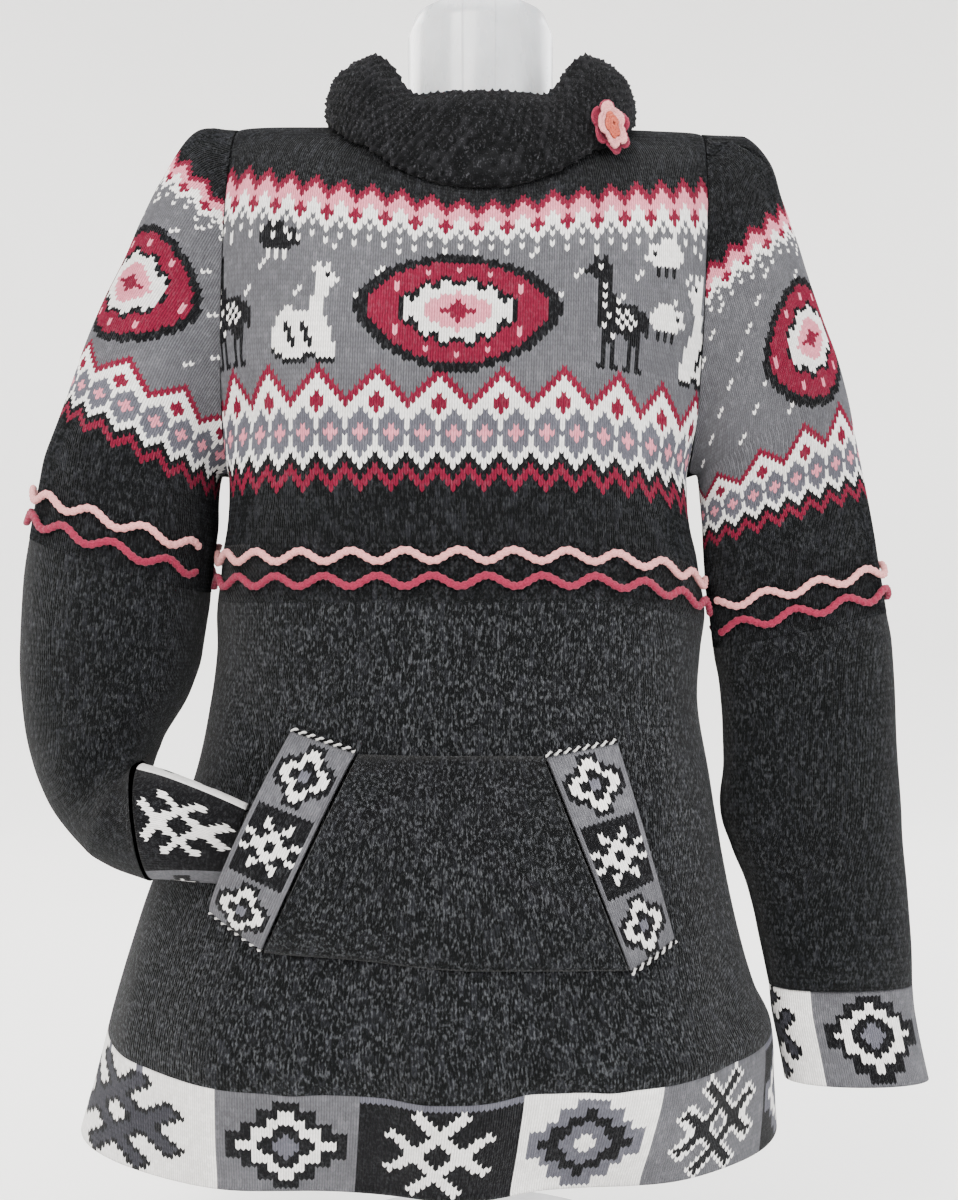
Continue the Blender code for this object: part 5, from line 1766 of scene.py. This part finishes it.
def petal_layer(layer, finish, frame_at):
    """One crocheted layer: a dish whose rim swells into petals, with ribs running out."""
    around, out_steps, petals = 96, 14, layer.petals
    turns = np.arange(around) * 2 * math.pi / around
    shares = np.linspace(0.08, 1.0, out_steps)
    rng = np.random.default_rng(SEED + petals)
    drawn = rng.normal(size=petals + 1) * 0.8
    uneven = 1 + 0.1 * np.interp(turns, np.linspace(0, 2 * math.pi, petals + 1), drawn)
    edge = (0.74 + 0.26 * np.abs(np.sin(petals * turns / 2)) ** 0.7) * uneven
    points = []
    for share in shares:
        wide = layer.half_wide * (1 + (edge - 1) * share**1.5) * share
        tall = layer.half_tall * (1 + (edge - 1) * share**1.5) * share
        height = layer.lift + layer.cup * share**2 + layer.ruffle * share**3 * np.sin(petals * turns)
        height = height + 0.35 * np.sin(petals * 6 * turns) * share + 0.4 * np.sin(share * 22)
        points.append(np.stack([wide * np.cos(turns), tall * np.sin(turns), height], axis=-1))
    grid = np.concatenate(points)
    faces = [tuple(range(around))]
    faces.extend(tube_faces(out_steps, around))
    placed = np.array([frame_at @ Vector(p) for p in grid * MM])
    thing = plain_object(f"petals_{layer.word}", placed, faces)
    thicken(thing, PETAL_WALL, offset=0)
    finish_piece(thing, finish, f"flower_{layer.word}")


def build_flower(finishes):
    seat = collar_corners(np.array([FLOWER_TURN - 0.05, FLOWER_TURN, FLOWER_TURN + 0.05]), 1.3)
    low, high = seat[1, 0], seat[1, 1]
    place = low + (high - low) * (FLOWER_Z - low[2]) / (high[2] - low[2])
    facing = Vector(np.cross(seat[2, 1] - seat[0, 1], high - low)).normalized()
    frame_at = facing.to_track_quat("Z", "Y").to_matrix().to_4x4()
    frame_at.translation = (Vector(place) + facing * FLOWER_LIFT) * MM
    for layer in PETAL_LAYERS:
        petal_layer(layer, finishes[layer.yarn], frame_at)


# The stage, lights and camera


def build_stage(finish):
    """A pale round floor that turns up into a wall, the same from every side."""
    floor_radius, bend, wall_height, bend_steps, around = 2.2, 1.2, 3.4, 12, 96
    profile = [(floor_radius, 0.0)]
    for k in range(1, bend_steps + 1):
        turn = math.pi / 2 * k / bend_steps
        profile.append((floor_radius + bend * math.sin(turn), bend - bend * math.cos(turn)))
    profile.append((floor_radius + bend, wall_height))
    turns = [2 * math.pi * k / around for k in range(around)]
    work = bmesh.new()
    rings = []
    for radius, height in profile:
        rings.append([work.verts.new((radius * math.cos(t), radius * math.sin(t), height)) for t in turns])
    work.faces.new(rings[0])
    for low, high in zip(rings, rings[1:]):
        for k in range(around):
            n = (k + 1) % around
            work.faces.new((low[k], low[n], high[n], high[k]))
    mesh = bpy.data.meshes.new("studio")
    bmesh.ops.recalc_face_normals(work, faces=work.faces)
    work.to_mesh(mesh)
    work.free()
    mesh.shade_smooth()
    mesh.materials.append(finish)
    stage = bpy.data.objects.new("studio", mesh)
    bpy.context.scene.collection.objects.link(stage)


Light = namedtuple("Light", "name place size power colour")
LIGHTS = [
    Light("key", (-0.9, -1.7, 1.9), 1.3, 88, (1.0, 0.97, 0.93)),
    Light("fill", (1.6, -1.3, 1.1), 1.6, 42, (0.95, 0.97, 1.0)),
    Light("back_left", (-1.5, 1.5, 1.8), 1.4, 44, (1.0, 0.98, 0.95)),
    Light("back_right", (1.5, 1.6, 1.6), 1.4, 40, (0.96, 0.98, 1.0)),
    Light("top", (0.0, 0.0, 2.6), 1.8, 48, (1.0, 1.0, 1.0)),
]
LIGHT_AIM = Vector((0.0, 0.0, 0.45))


def build_lights():
    for light in LIGHTS:
        lamp = bpy.data.lights.new(light.name, "AREA")
        lamp.size = light.size
        lamp.energy = light.power
        lamp.color = light.colour
        thing = bpy.data.objects.new(light.name, lamp)
        thing.location = light.place
        thing.rotation_euler = (LIGHT_AIM - Vector(light.place)).to_track_quat("-Z", "Y").to_euler()
        bpy.context.scene.collection.objects.link(thing)
    world = bpy.data.worlds.new("studio_air")
    world.use_nodes = True
    world.node_tree.nodes["Background"].inputs["Color"].default_value = (0.95, 0.96, 1.0, 1)
    world.node_tree.nodes["Background"].inputs["Strength"].default_value = 1.1
    bpy.context.scene.world = world


def build_camera():
    camera = bpy.data.cameras.new("photo_camera")
    camera.lens = CAMERA_LENS
    camera.sensor_width = CAMERA_SENSOR
    thing = bpy.data.objects.new("photo_camera", camera)
    thing.location = CAMERA_PLACE
    thing.rotation_euler = (math.pi / 2, 0, 0)
    bpy.context.scene.collection.objects.link(thing)
    bpy.context.scene.camera = thing


def build_form(finish):
    """The form's own levels, with many more points round each, so that the neck is smooth."""
    table = np.array(FORM, float)
    turn = np.arange(FORM_AROUND) * 2 * math.pi / FORM_AROUND
    sideways, forward = np.sin(turn), np.cos(turn)
    face = np.where(forward > 0, FRONT, BACK)
    inset = WALL + FORM_REST_GAP
    rings = []
    for z in sorted([row.z for row in FORM] + list(CHEST_ROWS_Z)):
        centre, half_width, front, back, roundness = (
            float(through(table[:, 0], table[:, c], z)) for c in range(1, len(FormRow._fields))
        )
        depth = np.where(forward > 0, front, back)
        x = centre + half_width * signed_power(sideways, 2 / roundness)
        y = -depth * signed_power(forward, 2 / roundness)
        at_chest = ease(CHEST_FROM_Z, CHEST_FULL_Z, z) * (1 - ease(CHEST_TO_Z, CHEST_END_Z, z))
        if at_chest > 0:
            middle = (read("right", z) - read("left", z)) / 2
            reach = (read("right", z) + read("left", z)) / 2 - inset - CHEST_SIDE_GAP
            share = signed_power(sideways, 2 / ROUNDNESS)
            close_x = middle + reach * share
            deep = np.where(face == FRONT, read("front", z), read("back", z)) - inset
            front_bulge, back_bulge = (swelling(side, close_x, z, share) for side in (FRONT, BACK))
            bulge = np.where(face == FRONT, front_bulge, back_bulge)
            out = deep * np.abs(forward) ** (2 / ROUNDNESS) + bulge
            x = x * (1 - at_chest) + close_x * at_chest
            y = y * (1 - at_chest) + face * out * at_chest
        rings.append(np.stack([x, y, np.full(FORM_AROUND, float(z))], axis=-1))
    faces = tube_faces(len(rings), FORM_AROUND)
    faces.append(tuple(range(FORM_AROUND))[::-1])
    faces.append(tuple((len(rings) - 1) * FORM_AROUND + k for k in range(FORM_AROUND)))
    thing = plain_object("smooth_form", np.array(rings).reshape(-1, 3) * MM, faces)
    thing.data.set_sharp_from_angle(angle=math.radians(50))
    finish_piece(thing, finish, "form_torso")


def dress_rigid(frame):
    """Better materials on the carried-over rigid nodes."""
    finishes = {
        "form_hook": steel_material("bright_wire", 0.18, 0.34, (0.62, 0.62, 0.63)),
        "stand_pole": steel_material("brushed_pole", 0.26, 0.42, (0.6, 0.6, 0.61)),
        "stand_base": steel_material("brushed_base", 0.3, 0.5, (0.55, 0.55, 0.57)),
    }
    for name, finish in finishes.items():
        for slot in frame["nodes"][name].material_slots:
            slot.material = finish


def main():
    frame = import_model()
    build_camera()
    # groove sets how dark the painted shade between the stitch legs is.
    yoke = knit_material("patterned_knit", groove=0.42, fleck=0.35)
    skirt = knit_material("dark_heather_knit", groove=0.5, fleck=0.9)
    sleeve = knit_material("sleeve_knit", groove=0.5, fleck=0.5, sheen=0.03)
    squares = knit_material("squares_knit", groove=0.34, fleck=0.3, sheen=0.04, depth=0.0005)
    yarns = {
        "pink": yarn_material("pink_chain", PINK_CORD, linear(214, 150, 148)),
        "crimson": yarn_material("crimson_chain", CRIMSON_CORD, linear(132, 34, 60)),
        "coral": yarn_material("coral_crochet", CORAL_CORD, linear(188, 92, 70)),
    }
    build_yokes(yoke)
    build_skirts(skirt)
    build_hem(squares)
    build_sleeves(yoke, sleeve, squares)
    build_pouch(skirt, squares, squares)
    build_body_cords(yarns)
    build_sleeve_cords(yarns)
    build_collar(chunky_material("collar_wool"))
    build_flower(yarns)
    build_form(plastic_material("cloudy_plastic"))
    dress_rigid(frame)
    build_stage(stage_material("studio_paint"))
    build_lights()


main()
